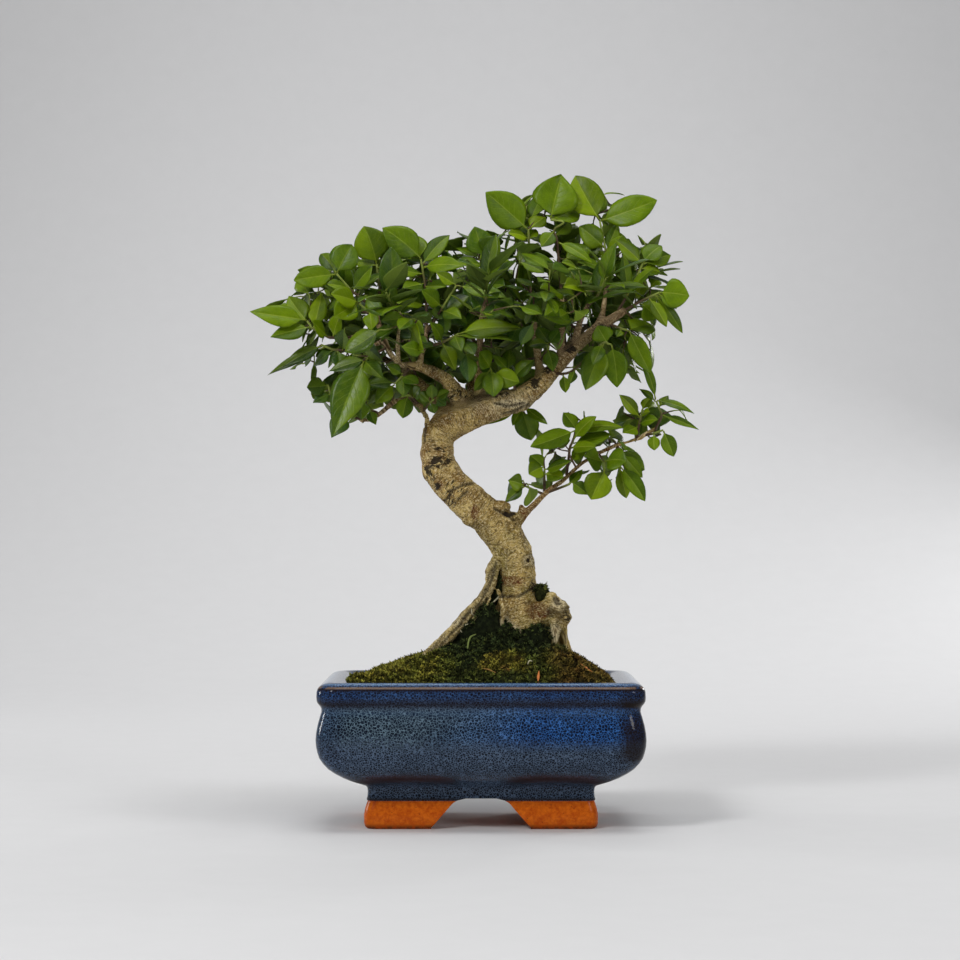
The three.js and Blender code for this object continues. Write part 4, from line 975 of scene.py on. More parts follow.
def seen_half(blade):
    """Half of a blade's width as seen from the front, in mm."""
    side = unit(np.cross(blade["tip"] - blade["base"], blade["up"]))
    ends = front_view(blade["base"] + np.array([[-0.5], [0.5]]) * blade["width"] * side)
    return np.linalg.norm(ends[1] - ends[0]) / 2


SHOWN_HALF = np.array([seen_half(blade) for blade in SHOWN])


def inside(seen, outline):
    """Which places lie in an outline: those from where a level line crosses it an odd number of times."""
    x, z = seen[:, 0], seen[:, 1]
    odd = np.zeros(len(seen), bool)
    for (ax, az), (bx, bz) in zip(outline, outline[1:] + outline[:1]):
        if az != bz:
            odd ^= ((az > z) != (bz > z)) & (x < ax + (z - az) / (bz - az) * (bx - ax))
    return odd


def stretches(route):
    places = np.array(route, float)
    return zip(places[:-1], places[1:])


def from_route(seen, route):
    """How far places are from a route of straight stretches, in mm."""
    least = np.full(len(seen), np.inf)
    for a, b in stretches(route):
        share = np.clip((seen - a) @ (b - a) / (b - a).dot(b - a), 0, 1)
        least = np.minimum(least, np.linalg.norm(seen - a - share[:, None] * (b - a), axis=1))
    return least


def touches(seen, circles, margin=0):
    """Which places lie in which circles of [x, z, radius] or in a margin around them."""
    circles = np.array(circles, float)
    return np.hypot(*(seen[:, None] - circles[:, :2]).transpose(2, 0, 1)) < circles[:, 2] + margin


def hides_leaf(samples, seen):
    """True if places lie in front of a leaf that the frame shows from the front."""
    away = seen[:, None] - SHOWN_BASE
    along = (away * SHOWN_WAY).sum(axis=2)
    across = np.abs(away[..., 0] * SHOWN_WAY[:, 1] - away[..., 1] * SHOWN_WAY[:, 0])
    half = SHOWN_HALF * np.clip(1 - (2 * along / SHOWN_LENGTH - 1) ** 2, 0, 1) ** 0.5
    return ((across < half) & (samples[:, None, 1] < SHOWN_Y)).any()


def allowed(samples):
    """True if a leaf's places stay in the crown as seen from the front, hiding no limb, gap or shown leaf."""
    seen = front_view(samples)
    low, high = np.array(CAD_BOX[0]) + EDGE_MARGIN, np.array(CAD_BOX[1]) - EDGE_MARGIN
    if not (inside(seen, CROWN_OUTLINE) | inside(seen, BRANCH_OUTLINE)).all():
        return False
    if (samples < low).any() or (samples > high).any() or touches(seen, SKY).any():
        return False
    front = samples[:, 1] < LIMB_FRONT
    if (touches(seen, OPEN_LIMBS, OPEN_MARGIN) & front[:, None]).any() or hides_leaf(samples, seen):
        return False
    return all(TREE_BVH.find_nearest(Vector(p))[3] > WOOD_CLEARANCE for p in samples)


def leaf_samples(blade):
    along = blade["tip"] - blade["base"]
    side = unit(np.cross(along, blade["up"]))
    half = blade["width"] / 2
    places = [(0.3, 0), (0.4, 0.8), (0.4, -0.8), (0.65, 0.7), (0.65, -0.7), (0.6, 0), (0.85, 0), (1, 0)]
    return np.array([blade["base"] + share * along + part * half * side for share, part in places])


class Places:
    """A growing number of places, each with a tag."""

    def __init__(self):
        self.room = np.empty((ROOM, 3))
        self.tags = []

    @property
    def points(self):
        return self.room[:len(self.tags)]

    def add(self, points, tag=None):
        count = len(self.tags)
        self.room[count:count + len(points)] = points
        self.tags += [tag] * len(points)

    def away(self, point):
        return np.linalg.norm(self.points - point, axis=1)

    def clear_of(self, points, spacing):
        return all((self.away(point) > spacing).all() for point in points)


def spread(points, spacing):
    """The points that aren't nearer than the spacing to a kept one before them."""
    kept = Places()
    for point in points:
        if kept.clear_of([point], spacing):
            kept.add([point])
    return kept.points


def crown_targets(random):
    """Evenly spread places in the crown and the lower branch, each to be reached by a twig."""
    found = []
    for outline, depth, slope, middle in REGIONS:
        low, high = np.min(outline, axis=0), np.max(outline, axis=0)
        draws = random.random((DRAWS, 3))
        seen = low + draws[:, :2] * (high - low)
        edge = from_route(seen, outline + outline[:1])
        reach = depth * np.sqrt(np.clip(edge / slope, 0, 1))
        y = POT_Y + (middle + (2 * draws[:, 2] - 1) * reach) * MM
        found.append(seen_at(seen[:, 0], seen[:, 1], y)[inside(seen, outline)])
    return spread(np.vstack(found), TARGET_SPACING)


def twig_to(start, target, random):
    way = target - start
    bow = random.normal(0, 0.09, 3) * np.linalg.norm(way) + way * [0, 0, 0.12]
    return catmull([start, start + 0.5 * way + bow, target], 3)


def leaves_on(line, random):
    """Leaves in pairs along a twig, and one at its end, which face outwards and up and hang a little."""
    length = np.linalg.norm(line[-1] - line[0])
    way = unit(line[-1] - line[-3])
    outward = unit(line[-1] - CROWN_MIDDLE)
    across = unit(np.cross([0.05, 0.02, 1], way))
    over = np.cross(way, across)
    pairs = 1 + sum(length > least for least in PAIR_LENGTHS)
    turn = random.random() * math.pi
    leaves = []
    for pair in range(pairs + 1):
        last = pair == pairs
        place = (pair + 1) / (pairs + 1)
        base = line[math.ceil(place * (len(line) - 1))]
        for half_turn in (0,) if last else (0, math.pi):
            angle = turn + pair * math.pi / 2 + half_turn + 0.7 * (random.random() - 0.5)
            opening = math.radians(15 * random.random() if last else 40 + 38 * random.random())
            ray = math.cos(angle) * across + math.sin(angle) * over
            leaf_way = unit(math.cos(opening) * way + math.sin(opening) * ray - [0, 0, DROOP])
            up = unit(0.75 * outward + [0, -0.12, 0.5] + random.normal(0, 0.32, 3))
            size = (LEAST_LEAF + MORE_LEAF * random.random()) * MM
            leaves.append({"base": base, "tip": base + size * leaf_way, "up": up, "place": place,
                           "width": size * (0.52 + 0.18 * random.random()), "pointed": 0.7 * random.random()})
    return leaves


def fill_crown(bunches, paths):
    random = np.random.default_rng([SEED, CROWN_SEED])
    stems, taken = Places(), Places()
    for shoot, path in paths.items():
        stems.add(path, group_of(shoot))
    for point in TREE_POINTS[TREE_POINTS[:, 2] > BOUGHS_START]:
        stems.add([point], group_of(min(paths, key=lambda shoot: np.linalg.norm(paths[shoot][0] - point))))
    for blades, _ in SHOOTS.values():
        for blade in blades:
            taken.add(leaf_samples(blade))
    targets = crown_targets(random)
    order = np.argsort([stems.away(target).min() for target in targets])
    for target in targets[order]:
        away = stems.away(target)
        nearest = away.argmin()
        if not SHORTEST_TWIG < away[nearest] < LONGEST_TWIG:
            continue
        line = twig_to(stems.points[nearest], target, random)
        if not allowed(line[3:]):
            continue
        kept = []
        for leaf in leaves_on(line, random):
            samples = leaf_samples(leaf)
            if allowed(samples) and taken.clear_of(samples, LEAF_SPACING):
                kept.append(leaf)
                taken.add(samples)
        if not kept:
            continue
        group = stems.tags[nearest]
        line = line[:max(3, 1 + math.ceil(max(leaf["place"] for leaf in kept) * (len(line) - 1)))]
        stems.add(line[2:], group)
        places = np.linspace(0, 1, len(line))
        bunches[group].add_twig(line, (0.62 - 0.25 * places) * MM, 0.85 - 0.8 * places, 5)
        for leaf in kept:
            # Leaves far out in the crown are young and light, and those deep inside are darker. This is
            # partly young growth and partly painted shade inside the crown.
            outer = np.linalg.norm((leaf["tip"] - CROWN_MIDDLE) / [0.13, 0.085, 0.1])
            youth = 0.13 + 0.8 * (outer - 0.55) + 0.5 * (random.random() - 0.5)
            leaf["youth"] = float(np.clip(youth, 0, 0.85))
            bunches[group].add_leaf(leaf, random.random(8))


# Dry twigs of the lower branch as seen from the front: routes of [x, z] from the branch outwards, with how
# far in front of the branch each place is, in mm.
DRY_TWIGS = [
    [(60, 222.5, 0.5), (57, 228, 1.5), (55.6, 233.4, 3), (57.5, 239, 4), (59.3, 244.5, 5)],
    [(55.8, 233, 3), (53, 236.6, 4), (50.2, 240.3, 5)],
    [(55.7, 232.6, 3), (50, 233.6, 4), (44.2, 236.2, 5)],
    [(50, 233.6, 4), (47.5, 237, 4.5)],
]


def dry_twigs(bunch):
    start = sight_hit(*DRY_TWIGS[0][0][:2], 0)
    for number, route in enumerate(DRY_TWIGS):
        line = catmull([seen_at(x, z, start[1] - forward * MM) for x, z, forward in route], 3)
        thick = 0.75 if number == 0 else 0.5
        bunch.add_twig(line, np.linspace(thick, 0.3, len(line)) * MM, np.full(len(line), 0.95), 6)


def build_foliage():
    bunches = {group: Bunch() for group in GROUPS}
    replaced = {group: [] for group in GROUPS}
    paths = {}
    for index, name in enumerate(sorted(SHOOTS)):
        shoot = name.removeprefix("shoot_")
        group = group_of(shoot)
        paths[shoot] = grow_shoot(bunches[group], shoot, np.random.default_rng([SEED, index]))
        replaced[group].append(name)
    fill_crown(bunches, paths)
    dry_twigs(bunches["leaves_lower_branch"])
    materials = leaf_material(), twig_material()
    for group, bunch in bunches.items():
        dress(bunch.piece(group, materials), "leaves", *replaced[group])


build_foliage()

# Wood

WOOD_VOXEL = 0.95 * MM
# Marks on the bark as seen from the front, in mm from the pot's middle: [x, z, reach in x, reach in z].
# The three marks in the fork between the boughs, at z 266 to 268, are painted shadow laid over dark bark.
DARK_BARK = [
    (-25, 233.7, 6, 4.5), (-26.3, 225.5, 8.5, 7), (-20.7, 227.4, 5, 6), (-33, 221.8, 6, 5),
    (-31, 216.5, 5, 5), (-27.6, 209.9, 3, 3.6), (-36, 213, 4, 6), (-40, 262, 9, 8), (-34, 256, 5, 8),
    (-16, 268, 11, 8), (-3, 266, 10, 4), (13, 268, 9, 4), (33, 275, 9, 9), (43, 285, 8, 7), (56, 297, 8, 5),
    (73, 311, 9, 5), (33, 147, 4, 6), (18, 193, 8, 3), (53, 128, 5, 6),
]
RED_BARK = [(18, 151, 12, 4), (29, 195, 6, 7), (-4, 194, 3, 7), (-26, 211, 3, 4), (36, 132, 9, 7)]
BLEACHED_BARK = [(49, 137, 8, 7), (46, 119, 5, 10), (-18, 126, 8, 4), (20, 262, 16, 4)]
# Creases: a route of [x, z] places.
CREASES = [
    [(-23, 201), (-20.8, 203.3), (-17.4, 207.9), (-10.9, 211.4), (-5, 212.4)],
    [(-14.2, 202), (-8.3, 207.3)],
    [(9.5, 196), (15.7, 192.3), (21.5, 189)],
    [(9, 141), (16, 141), (23, 141.2), (32, 146)],
    [(-34.5, 249), (-35.6, 239)],
    [(9, 262.5), (17, 260.5), (27, 262.5)],
    [(14, 255.5), (22, 258), (30, 262)],
    [(9.5, 163), (7, 152), (2, 142), (-3, 134)],
    [(-6, 133), (-16, 121), (-26, 110)],
]
EYE = (29.6, 163.8)
# The gnarled stump's knobs: a middle and three half widths. Its hollow: a middle and how wide.
KNOBS = [
    (48, -7, 132, 8, 8, 8), (52.5, -7, 135, 4, 5, 4), (44.5, -8, 140, 4.5, 5, 3.5), (51, -8, 128, 6, 6, 5),
    (17, -5, 190.5, 9, 6, 4.2), (12, -7, 197.5, 7, 6, 4), (-13, -8, 197, 6, 6, 4.5), (-5, -8, 189, 7, 6, 3.8),
]
HOLLOW = (48.5, -15, 139.5)
HOLLOW_REACH = 4.6
# Small roots that run down from the trunk's foot: their route and their half widths along it.
SMALL_ROOTS = [
    ([(47, -10, 128), (46.5, -14, 121), (45, -14.5, 112), (45, -15, 106)], (4.5, 3.4, 2.8, 2)),
    ([(51, -9, 124), (52.5, -8, 116), (54, -10, 108), (56, -12, 102)], (3.2, 1.9, 1.6, 1.6)),
    ([(10.5, -9, 146), (12, -12.5, 141), (13.2, -14.5, 136), (15, -15.5, 130)], (1.2, 1.6, 1.5, 0.6)),
    ([(8, -10, 149), (5, -13.5, 139), (0, -14, 131), (-8, -14, 122)], (0.9, 1.0, 1.0, 0.8)),
]
# How the limbs run as seen from the front: the trunk with the right bough, the left bough, the left root, the
# lower branch.
LIMB_ROUTES = [
    [(29, 120), (26, 140)] + [(x, z) for x, z, _ in OPEN_LIMBS[:TRUNK_PLACES]],
    [(x, z) for x, z, _ in OPEN_LIMBS[TRUNK_PLACES:]],
    [(14, 168), (5, 155), (-4, 142), (-14, 130), (-24, 118), (-36, 106)],
    [(20, 186), (36, 198), (52, 212), (86, 240)],
]
LEFT_BOUGH = 1
LOWER_BRANCH = 3
# The stump's slanting top: a place in x, the height there, and the slope. The stump reaches from one x to
# another.
STUMP_TOP = (45.4, 143.5, -0.92)
STUMP_REACH = (44, 70)
STUMP_HIGHEST = 152
# Single wide marks, as above: the stump, the shade in the left bend and in the fork, the reddish foot of the
# trunk, and the bleached fork.
STUMP = (47, 136, 20, 22)
SHADED_BEND = (-20, 206, 13, 16)
SHADED_FORK = (16, 262, 16, 5)
RED_FOOT = (24, 137, 20, 15)
BLEACHED_FORK = (14, 263, 34, 14)
NEAR_MOSS = 4 * MM


def near(local, x, z, reach_x, reach_z):
    """1 at a place seen from the front, fading to 0 at its reach."""
    return 1 - smoothstep(0.3, 1.0, np.hypot((local[:, 0] - x) / reach_x, (local[:, 2] - z) / reach_z))


def marked(local, places):
    return sum(near(local, *place) for place in places)


def along_limbs(local):
    """Where places are along the nearest limb, across it and in depth, in mm; the way from the limb's middle
    in x and z; and which limb that is."""
    seen = local[:, [0, 2]]
    nearest = np.full(len(local), np.inf)
    run = np.zeros((len(local), 4))
    limb_number = np.zeros(len(local), int)
    for number, route in enumerate(LIMB_ROUTES):
        start = 0
        total = np.zeros((len(local), 5))
        least = np.full(len(local), np.inf)
        for a, b in stretches(route):
            length = np.linalg.norm(b - a)
            way = (b - a) / length
            along = np.clip((seen - a) @ way, 0, length)
            away = seen - a - along[:, None] * way
            distance = np.linalg.norm(away, axis=1)
            across = away @ [-way[1], way[0]]
            weight = (distance + 0.5) ** -6
            total += weight[:, None] * np.column_stack([start + along, across, away, np.ones(len(local))])
            least = np.minimum(least, distance)
            start += length
        closer = least < nearest
        run[closer] = total[closer, :4] / total[closer, 4:]
        nearest[closer] = least[closer]
        limb_number[closer] = number
    return np.stack([run[:, 0], run[:, 1], local[:, 1]], axis=1), run[:, 2:], limb_number


def build_wood():
    knobs = [lump(*place) for place in KNOBS]
    roots = [limb(*root) for root in SMALL_ROOTS]
    piece = remeshed("wood", [(TREE_POINTS, TREE_FACES), *knobs, *roots], WOOD_VOXEL)
    mesh = piece.data
    points, normals = points_of(mesh), normals_of(mesh)
    local = in_mm(points)
    x, z = local[:, 0], local[:, 2]
    seen = local[:, [0, 2]] + 0.5 * np.stack([layered_noise(local, 5, 2, seed) for seed in (91, 92)], axis=1)
    cut = STUMP_TOP[1] + STUMP_TOP[2] * (x - STUMP_TOP[0])
    above = (x > STUMP_REACH[0]) & (x < STUMP_REACH[1]) & (z > cut) & (z < STUMP_HIGHEST)
    points[above, 2] -= 0.75 * (z - cut)[above] * MM
    run, from_middle, limb_number = along_limbs(local)
    branch = (limb_number == LOWER_BRANCH) * smoothstep(24, 30, x) * (1 - smoothstep(84, 92, x))
    bough = smoothstep(-16, -26, x) * smoothstep(272, 280, z) * smoothstep(-62, -56, x)
    bough = bough * (limb_number == LEFT_BOUGH)
    points[:, [0, 2]] -= (0.2 * branch + 0.25 * bough)[:, None] * from_middle * MM

    rings = layered_noise(run * [1.5, 0.5, 0.5], 4, 2, 27)
    fibres = layered_noise(run * [0.2, 1, 1], 2.6, 2, 35)
    broad = layered_noise(local, 15, 2, 5)
    ridged = np.abs(layered_noise(local * [0.8, 0.8, 1.5], 5.2, 3, 21))
    fine = layered_noise(local * [0.8, 0.8, 1.5], 2.4, 2, 33)
    trunk = np.clip(1 - smoothstep(282, 325, z), 0.2, 1) * (1 - 0.7 * branch)
    stump = near(local, *STUMP)
    root = smoothstep(170, 160, z) * smoothstep(14, 4, x)
    rough = np.clip(marked(local, DARK_BARK), 0, 1)
    crease = np.max([1 - smoothstep(0.4, 1.4, from_route(seen, route)) for route in CREASES], axis=0)
    eye = np.hypot(*(seen - EYE).T)
    hollow = np.linalg.norm(local - HOLLOW, axis=1) / HOLLOW_REACH
    cave = 1 - smoothstep(0.55, 1.0, hollow)

    height = 0.8 * broad + 0.45 * (0.35 - ridged) + 0.2 * fine + 0.45 * rings + 0.6 * rough * fine
    height = height * trunk + stump * (2.2 * layered_noise(local, 4.5, 3, 37) + 0.5 * fine)
    height += 1.4 * root * fibres
    height += 0.5 * bell(eye, 3.2, 0.9) - 0.5 * bell(eye, 0, 1.3) - 0.7 * crease * trunk
    height += 0.9 * bell(hollow, 1.25, 0.25) - 3.2 * cave
    put_points(mesh, points + normals * (height * MM)[:, None])

    to_moss = np.array([MOSS_BVH.find_nearest(Vector(p), NEAR_MOSS)[3] or NEAR_MOSS for p in points]) / MM
    lip = (1 - smoothstep(0.8, 2.2, to_moss)) * (x > 8) * smoothstep(134, 128, z) * (x < 44)
    blotches = smoothstep(0.3, 0.8, layered_noise(local, 8, 3, 44))
    dark = 0.85 * rough * (0.75 + 0.6 * layered_noise(local, 5, 2, 46)) + 0.3 * blotches
    # Painted shade in the eye's middle, in the left bend and in the fork.
    dark = dark + 1.5 * bell(eye, 0, 1.2) + 0.5 * near(local, *SHADED_BEND)
    dark = dark + 0.25 * near(local, *SHADED_FORK) + 0.12 * smoothstep(0.2, 0.5, ridged)
    green = smoothstep(225, 150, z) * (0.75 + 0.5 * layered_noise(local, 14, 2, 50))
    red = 0.7 * branch + 2 * marked(local, RED_BARK) + 0.35 * bough + 0.3 * near(local, *RED_FOOT)
    # Painted shade in the creases, in the eye's middle and the groove round it, between the root's fibres, in
    # the stump's low places and in its hollow.
    cleft_shade = crease + 0.7 * bell(eye, 4.2, 0.5) + bell(eye, 0, 1.1)
    cleft_shade = cleft_shade + 0.8 * root * smoothstep(0.1, -0.35, fibres)
    cleft_shade = cleft_shade + 0.8 * stump * smoothstep(0.0, -0.5, height) + 0.75 * cave
    bleached = 0.45 * bough + bell(eye, 2.6, 0.9) + 0.4 * near(local, *BLEACHED_FORK)
    bleached = bleached + marked(local, BLEACHED_BARK) + 0.3 * root + 0.9 * lip
    crown = smoothstep(274, 302, z) * (1 - 0.8 * bough) + smoothstep(276, 270, z) * smoothstep(-36, -44, x)
    clipped = np.clip(np.stack([dark, green, red, cleft_shade, bleached, crown], axis=1), 0, 1)
    set_attribute(mesh, "run", run * MM)
    set_attribute(mesh, "wood", clipped[:, :3])
    set_attribute(mesh, "wear_and_shade", clipped[:, 3:])
    coat(mesh, bark_material())
    dress(piece, "bark", "tree")


build_wood()

# Pot

POT_HALF_LENGTH = 100
POT_HALF_DEPTH = 75
# How the pot runs up outside and down inside: [how far in from the belly, height].
POT_OUTSIDE = [
    [30.2, 0], [28.9, 1.2], [28.2, 3.5], [28.2, 9], [29.0, 13], [30.2, 16.4], [30.3, 16.9], [29.9, 17.4],
    [29.8, 18], [30.2, 19.5], [30.4, 22.5], [30.2, 24.6], [29.4, 26], [26, 27.4], [21, 29.4], [15.6, 32],
    [10.8, 35], [7, 38], [4, 41.6], [1.9, 45], [0.8, 48.5], [0.1, 52], [-0.2, 56], [0.1, 60], [1, 65],
    [2.3, 69.8], [3.2, 72.9], [3.1, 75], [2.2, 76.7], [1, 78.2], [0.4, 79.6], [0.2, 82], [0.4, 85.2],
    [1, 87], [1.7, 88], [2.9, 88.9], [4.6, 89.9], [7, 90.5], [9.5, 90.7], [12, 90.4], [15, 89.6],
    [16.8, 88.4], [17.2, 86],
]
POT_INSIDE = [[16.6, 80], [7.6, 70], [7.4, 50], [14, 37], [38, 28]]
HOLLOW_RINGS = [[39.6, -2], [39.6, 17], [41, 19.3], [44, 20]]
CORNER_RADIUS = 12
LEAST_RADIUS = 5
CORNER_STEPS = 9
SIDE_STEPS = 26
# The arches between the feet: half widths at the foot and higher up, height, and how long they are cut.
FRONT_ARCH = (31, 15.5, 18, 200)
SIDE_ARCH = (20, 9, 18, 260)
DRAIN_X = 36
DRAIN_RADIUS = 7
DRAIN_SIDES = 24
BEVEL = 0.9 * MM
# Where the glaze ends above the bare feet, where the rim's foot and its edge are, and where a corner starts.
GLAZE_FOOT = 16.9
RIM_FOOT = 79
RIM_EDGE = 88
CORNER_X = 82
CORNER_Y = 57


def pot_ring(inset, height):
    """The pot's outline at a height: a rectangle with round corners."""
    radius = max(CORNER_RADIUS - 0.2 * inset, LEAST_RADIUS)
    x, y = POT_HALF_LENGTH - inset - radius, POT_HALF_DEPTH - inset - radius
    corners = [(x, y), (-x, y), (-x, -y), (x, -y)]
    ring = []
    for quarter, ((cx, cy), (nx, ny)) in enumerate(zip(corners, corners[1:] + corners[:1])):
        for k in range(CORNER_STEPS + 1):
            angle = (quarter + k / CORNER_STEPS) * math.pi / 2
            ring.append((cx + radius * math.cos(angle), cy + radius * math.sin(angle)))
        start, stop = ring[-1], (nx + radius * math.cos(angle), ny + radius * math.sin(angle))
        for k in range(1, SIDE_STEPS):
            ring.append([a + k / SIDE_STEPS * (b - a) for a, b in zip(start, stop)])
    return [(px, py, height) for px, py in ring]


def closed_loft(name, rings):
    points = in_frame(np.vstack(rings))
    count = len(rings[0])
    ends = [points[:count].mean(0), points[-count:].mean(0)]
    return mesh_object(name, np.vstack([points, ends]), skin(len(rings), count))


def arch_cutter(name, low, high, top, length, sideways):
    """An arch with a curved top, through the pot from front to back or from side to side."""
    half = [(low, -2), (low - 0.6, 1), (high + 4, top - 4.6), (high + 2, top - 2.4), (high - 1, top - 0.5),
            (high - 6, top + 0.7)]
    outline = [(-low, -2), *half, *((-x, z) for x, z in half[:0:-1])]
    ends = (-length / 2, length / 2)
    return closed_loft(name, [[(y, x, z) if sideways else (-x, y, z) for x, z in outline] for y in ends])


def drain_cutter(x):
    angles = np.arange(DRAIN_SIDES) * math.pi * 2 / DRAIN_SIDES
    circle = [(x + DRAIN_RADIUS * math.cos(a), DRAIN_RADIUS * math.sin(a)) for a in angles]
    return closed_loft("cut_drain", [[(px, py, z) for px, py in circle] for z in (15, 40)])


def build_pot():
    pot = closed_loft("pot_body", [pot_ring(*row) for row in POT_OUTSIDE + POT_INSIDE])
    cutters = [
        closed_loft("cut_hollow", [pot_ring(*row) for row in HOLLOW_RINGS]),
        arch_cutter("cut_front", *FRONT_ARCH, False),
        arch_cutter("cut_side", *SIDE_ARCH, True),
        drain_cutter(-DRAIN_X), drain_cutter(DRAIN_X),
    ]
    for cutter in cutters:
        modify(pot, "BOOLEAN", operation="DIFFERENCE", solver="EXACT", object=cutter)
    modify(pot, "BEVEL", width=BEVEL, segments=2, limit_method="ANGLE", angle_limit=math.radians(38))
    mesh = applied(pot).data
    for cutter in cutters:
        bpy.data.objects.remove(cutter)
    local = in_mm(points_of(mesh))
    x, y, z = np.abs(local[:, 0]), np.abs(local[:, 1]), local[:, 2]
    right = local[:, 0]
    wander = layered_noise(local, 18, 3, 61)
    inset = np.minimum(POT_HALF_LENGTH - x, POT_HALF_DEPTH - y)
    bare = np.maximum(1 - smoothstep(GLAZE_FOOT, 17.4, z), (inset > 38) & (z < 24))
    # Painted shade on the rounded corners, strongest on the right one, away from the key lamp.
    corner = smoothstep(13.5, 18.5, np.hypot(np.maximum(x - CORNER_X, 0), np.maximum(y - CORNER_Y, 0)))
    corner = corner * smoothstep(0, 5, np.minimum(x - CORNER_X, y - CORNER_Y))
    corner = corner * smoothstep(-150, 60, right) * (1 - 0.65 * smoothstep(76, RIM_FOOT, z))
    edge = bell(z, RIM_EDGE, 0.42) * (inset < 4)
    strips = bell(z, 86.6, 0.8) * (inset < 4)
    strips = strips + 0.75 * smoothstep(75.5, 77.5, z) * (1 - smoothstep(78.6, 80.2, z))
    along = np.where(x > 68.99, y * 1.3, x)
    # Painted shade and painted reflection of the feet in a crescent on the belly's underside above each foot.
    crescent = bell(z - 30 - 2 * np.sin((x - 15) / 17), 0, 3.2) * smoothstep(10, 20, along)
    foot_wear = (1 - smoothstep(1.5, 4, z)) * 0.9
    band = smoothstep(78, 79.5, z) * (1 - smoothstep(87, RIM_EDGE, z))
    # Rim band, dark rim lines, glaze foot line and worn feet, with painted shade on the corners and
    # crescents.
    dark_marks_and_shade = 0.35 * band + 0.85 * corner + strips + 0.9 * crescent + 0.9 * bell(z, 18, 0.7) + foot_wear * bare
    lively = smoothstep(48, 62, z + 3 * wander) * (1 - smoothstep(74, 77, z))
    lively = np.maximum(lively, 0.75 * smoothstep(RIM_FOOT, 81, z) * (z < 87)) * (0.85 + 0.2 * wander)
    # Painted highlight along the lip's top, and a faint painted reflection of a lamp round the neck.
    pale = 0.6 * smoothstep(88.9, 89.6, z) * (1 - smoothstep(6.5, 9.5, inset)) + 0.14 * bell(z, 73, 2.4)
    blue = smoothstep(-45, 55, right + 16 * wander) * smoothstep(48, 56, z)
    blue = np.maximum(blue, 0.9 * smoothstep(76, RIM_FOOT, z)) + 0.25 * smoothstep(-80, -92, right)
    set_attribute(mesh, "clay", np.stack([bare, edge, np.clip(lively, 0, 1)], axis=1))
    set_attribute(mesh, "tint", np.clip(np.stack([blue, pale, dark_marks_and_shade], axis=1), 0, 1))
    coat(mesh, glaze_material())
    mesh.shade_smooth()
    dress(pot, "glaze", "pot")


build_pot()

# Moss

MOSS_VOXEL = 1.25 * MM
CUSHION_SPACING = 3.2 * MM
ROSETTES = 6800
LEAFLETS = 5
# The four triangles of a leaflet, by its points' numbers: one below the foot, two at the sides, and the tip.
LEAFLET_FACES = ((0, 1, 2), (0, 2, 3), (0, 3, 1), (1, 3, 2))
# Where moss has grown up the trunk's foot and beside the stump: a middle and three half widths, in mm.
MOSS_LUMPS = [
    (36, -17, 114, 8, 6, 9), (31, -16, 113, 7, 6, 8), (38.5, -3, 142, 5, 5, 6), (4, -14, 124, 8, 5, 12),
    (-6, -11, 118, 8, 6, 8), (46, -20, 106, 7, 6, 4), (-74, -48, 88.5, 8, 9, 6), (-63, -48, 90, 7, 9, 6),
]


def moss_patches(local):
    """Yellow, dark and brown shares of the moss at places from the pot's middle, in mm."""
    x, z = local[:, 0], local[:, 2]
    wander = layered_noise(local, 16, 3, 71)
    fine = layered_noise(local, 6, 3, 72)
    spot = 1 - smoothstep(0.6, 1.15, np.hypot((x - 14) / 17, (z - 101) / 8) + 0.3 * wander)
    left = smoothstep(-18, -40, x + 12 * wander)
    yellow = 0.8 * spot + left * (0.55 + 0.5 * fine) + 0.3 * smoothstep(0.0, 0.5, fine)
    middle = 1 - smoothstep(0.5, 1.1, np.abs(x - 8) / 34 + 0.35 * wander)
    climbing = smoothstep(102, 112, z + 5 * wander)
    dark = 0.6 * middle + 0.85 * climbing + 0.4 * smoothstep(0.1, 0.5, wander) - 0.9 * spot - 0.3 * left
    dark = dark - 0.6 * (z > 134)
    brown = smoothstep(30, 52, x + 10 * wander) * (0.75 + 0.5 * fine) + spot * smoothstep(0.1, 0.5, fine)
    return np.clip(np.stack([yellow, dark, brown], axis=1), 0, 1)


def cushions(points, random):
    """How high on its cushion each place is: 1 on the crest and 0 in the gaps."""
    some = points[::3]
    centres = spread(np.vstack([some[:1], some[random.permutation(len(some))]]), CUSHION_SPACING)
    tree = KDTree(len(centres))
    for k, centre in enumerate(centres):
        tree.insert(centre, k)
    tree.balance()
    found = [tree.find_n(point, 2) for point in points]
    near, second = np.array([[hit[2] for hit in pair] for pair in found]).T
    return ((second - near) / second) ** 0.5


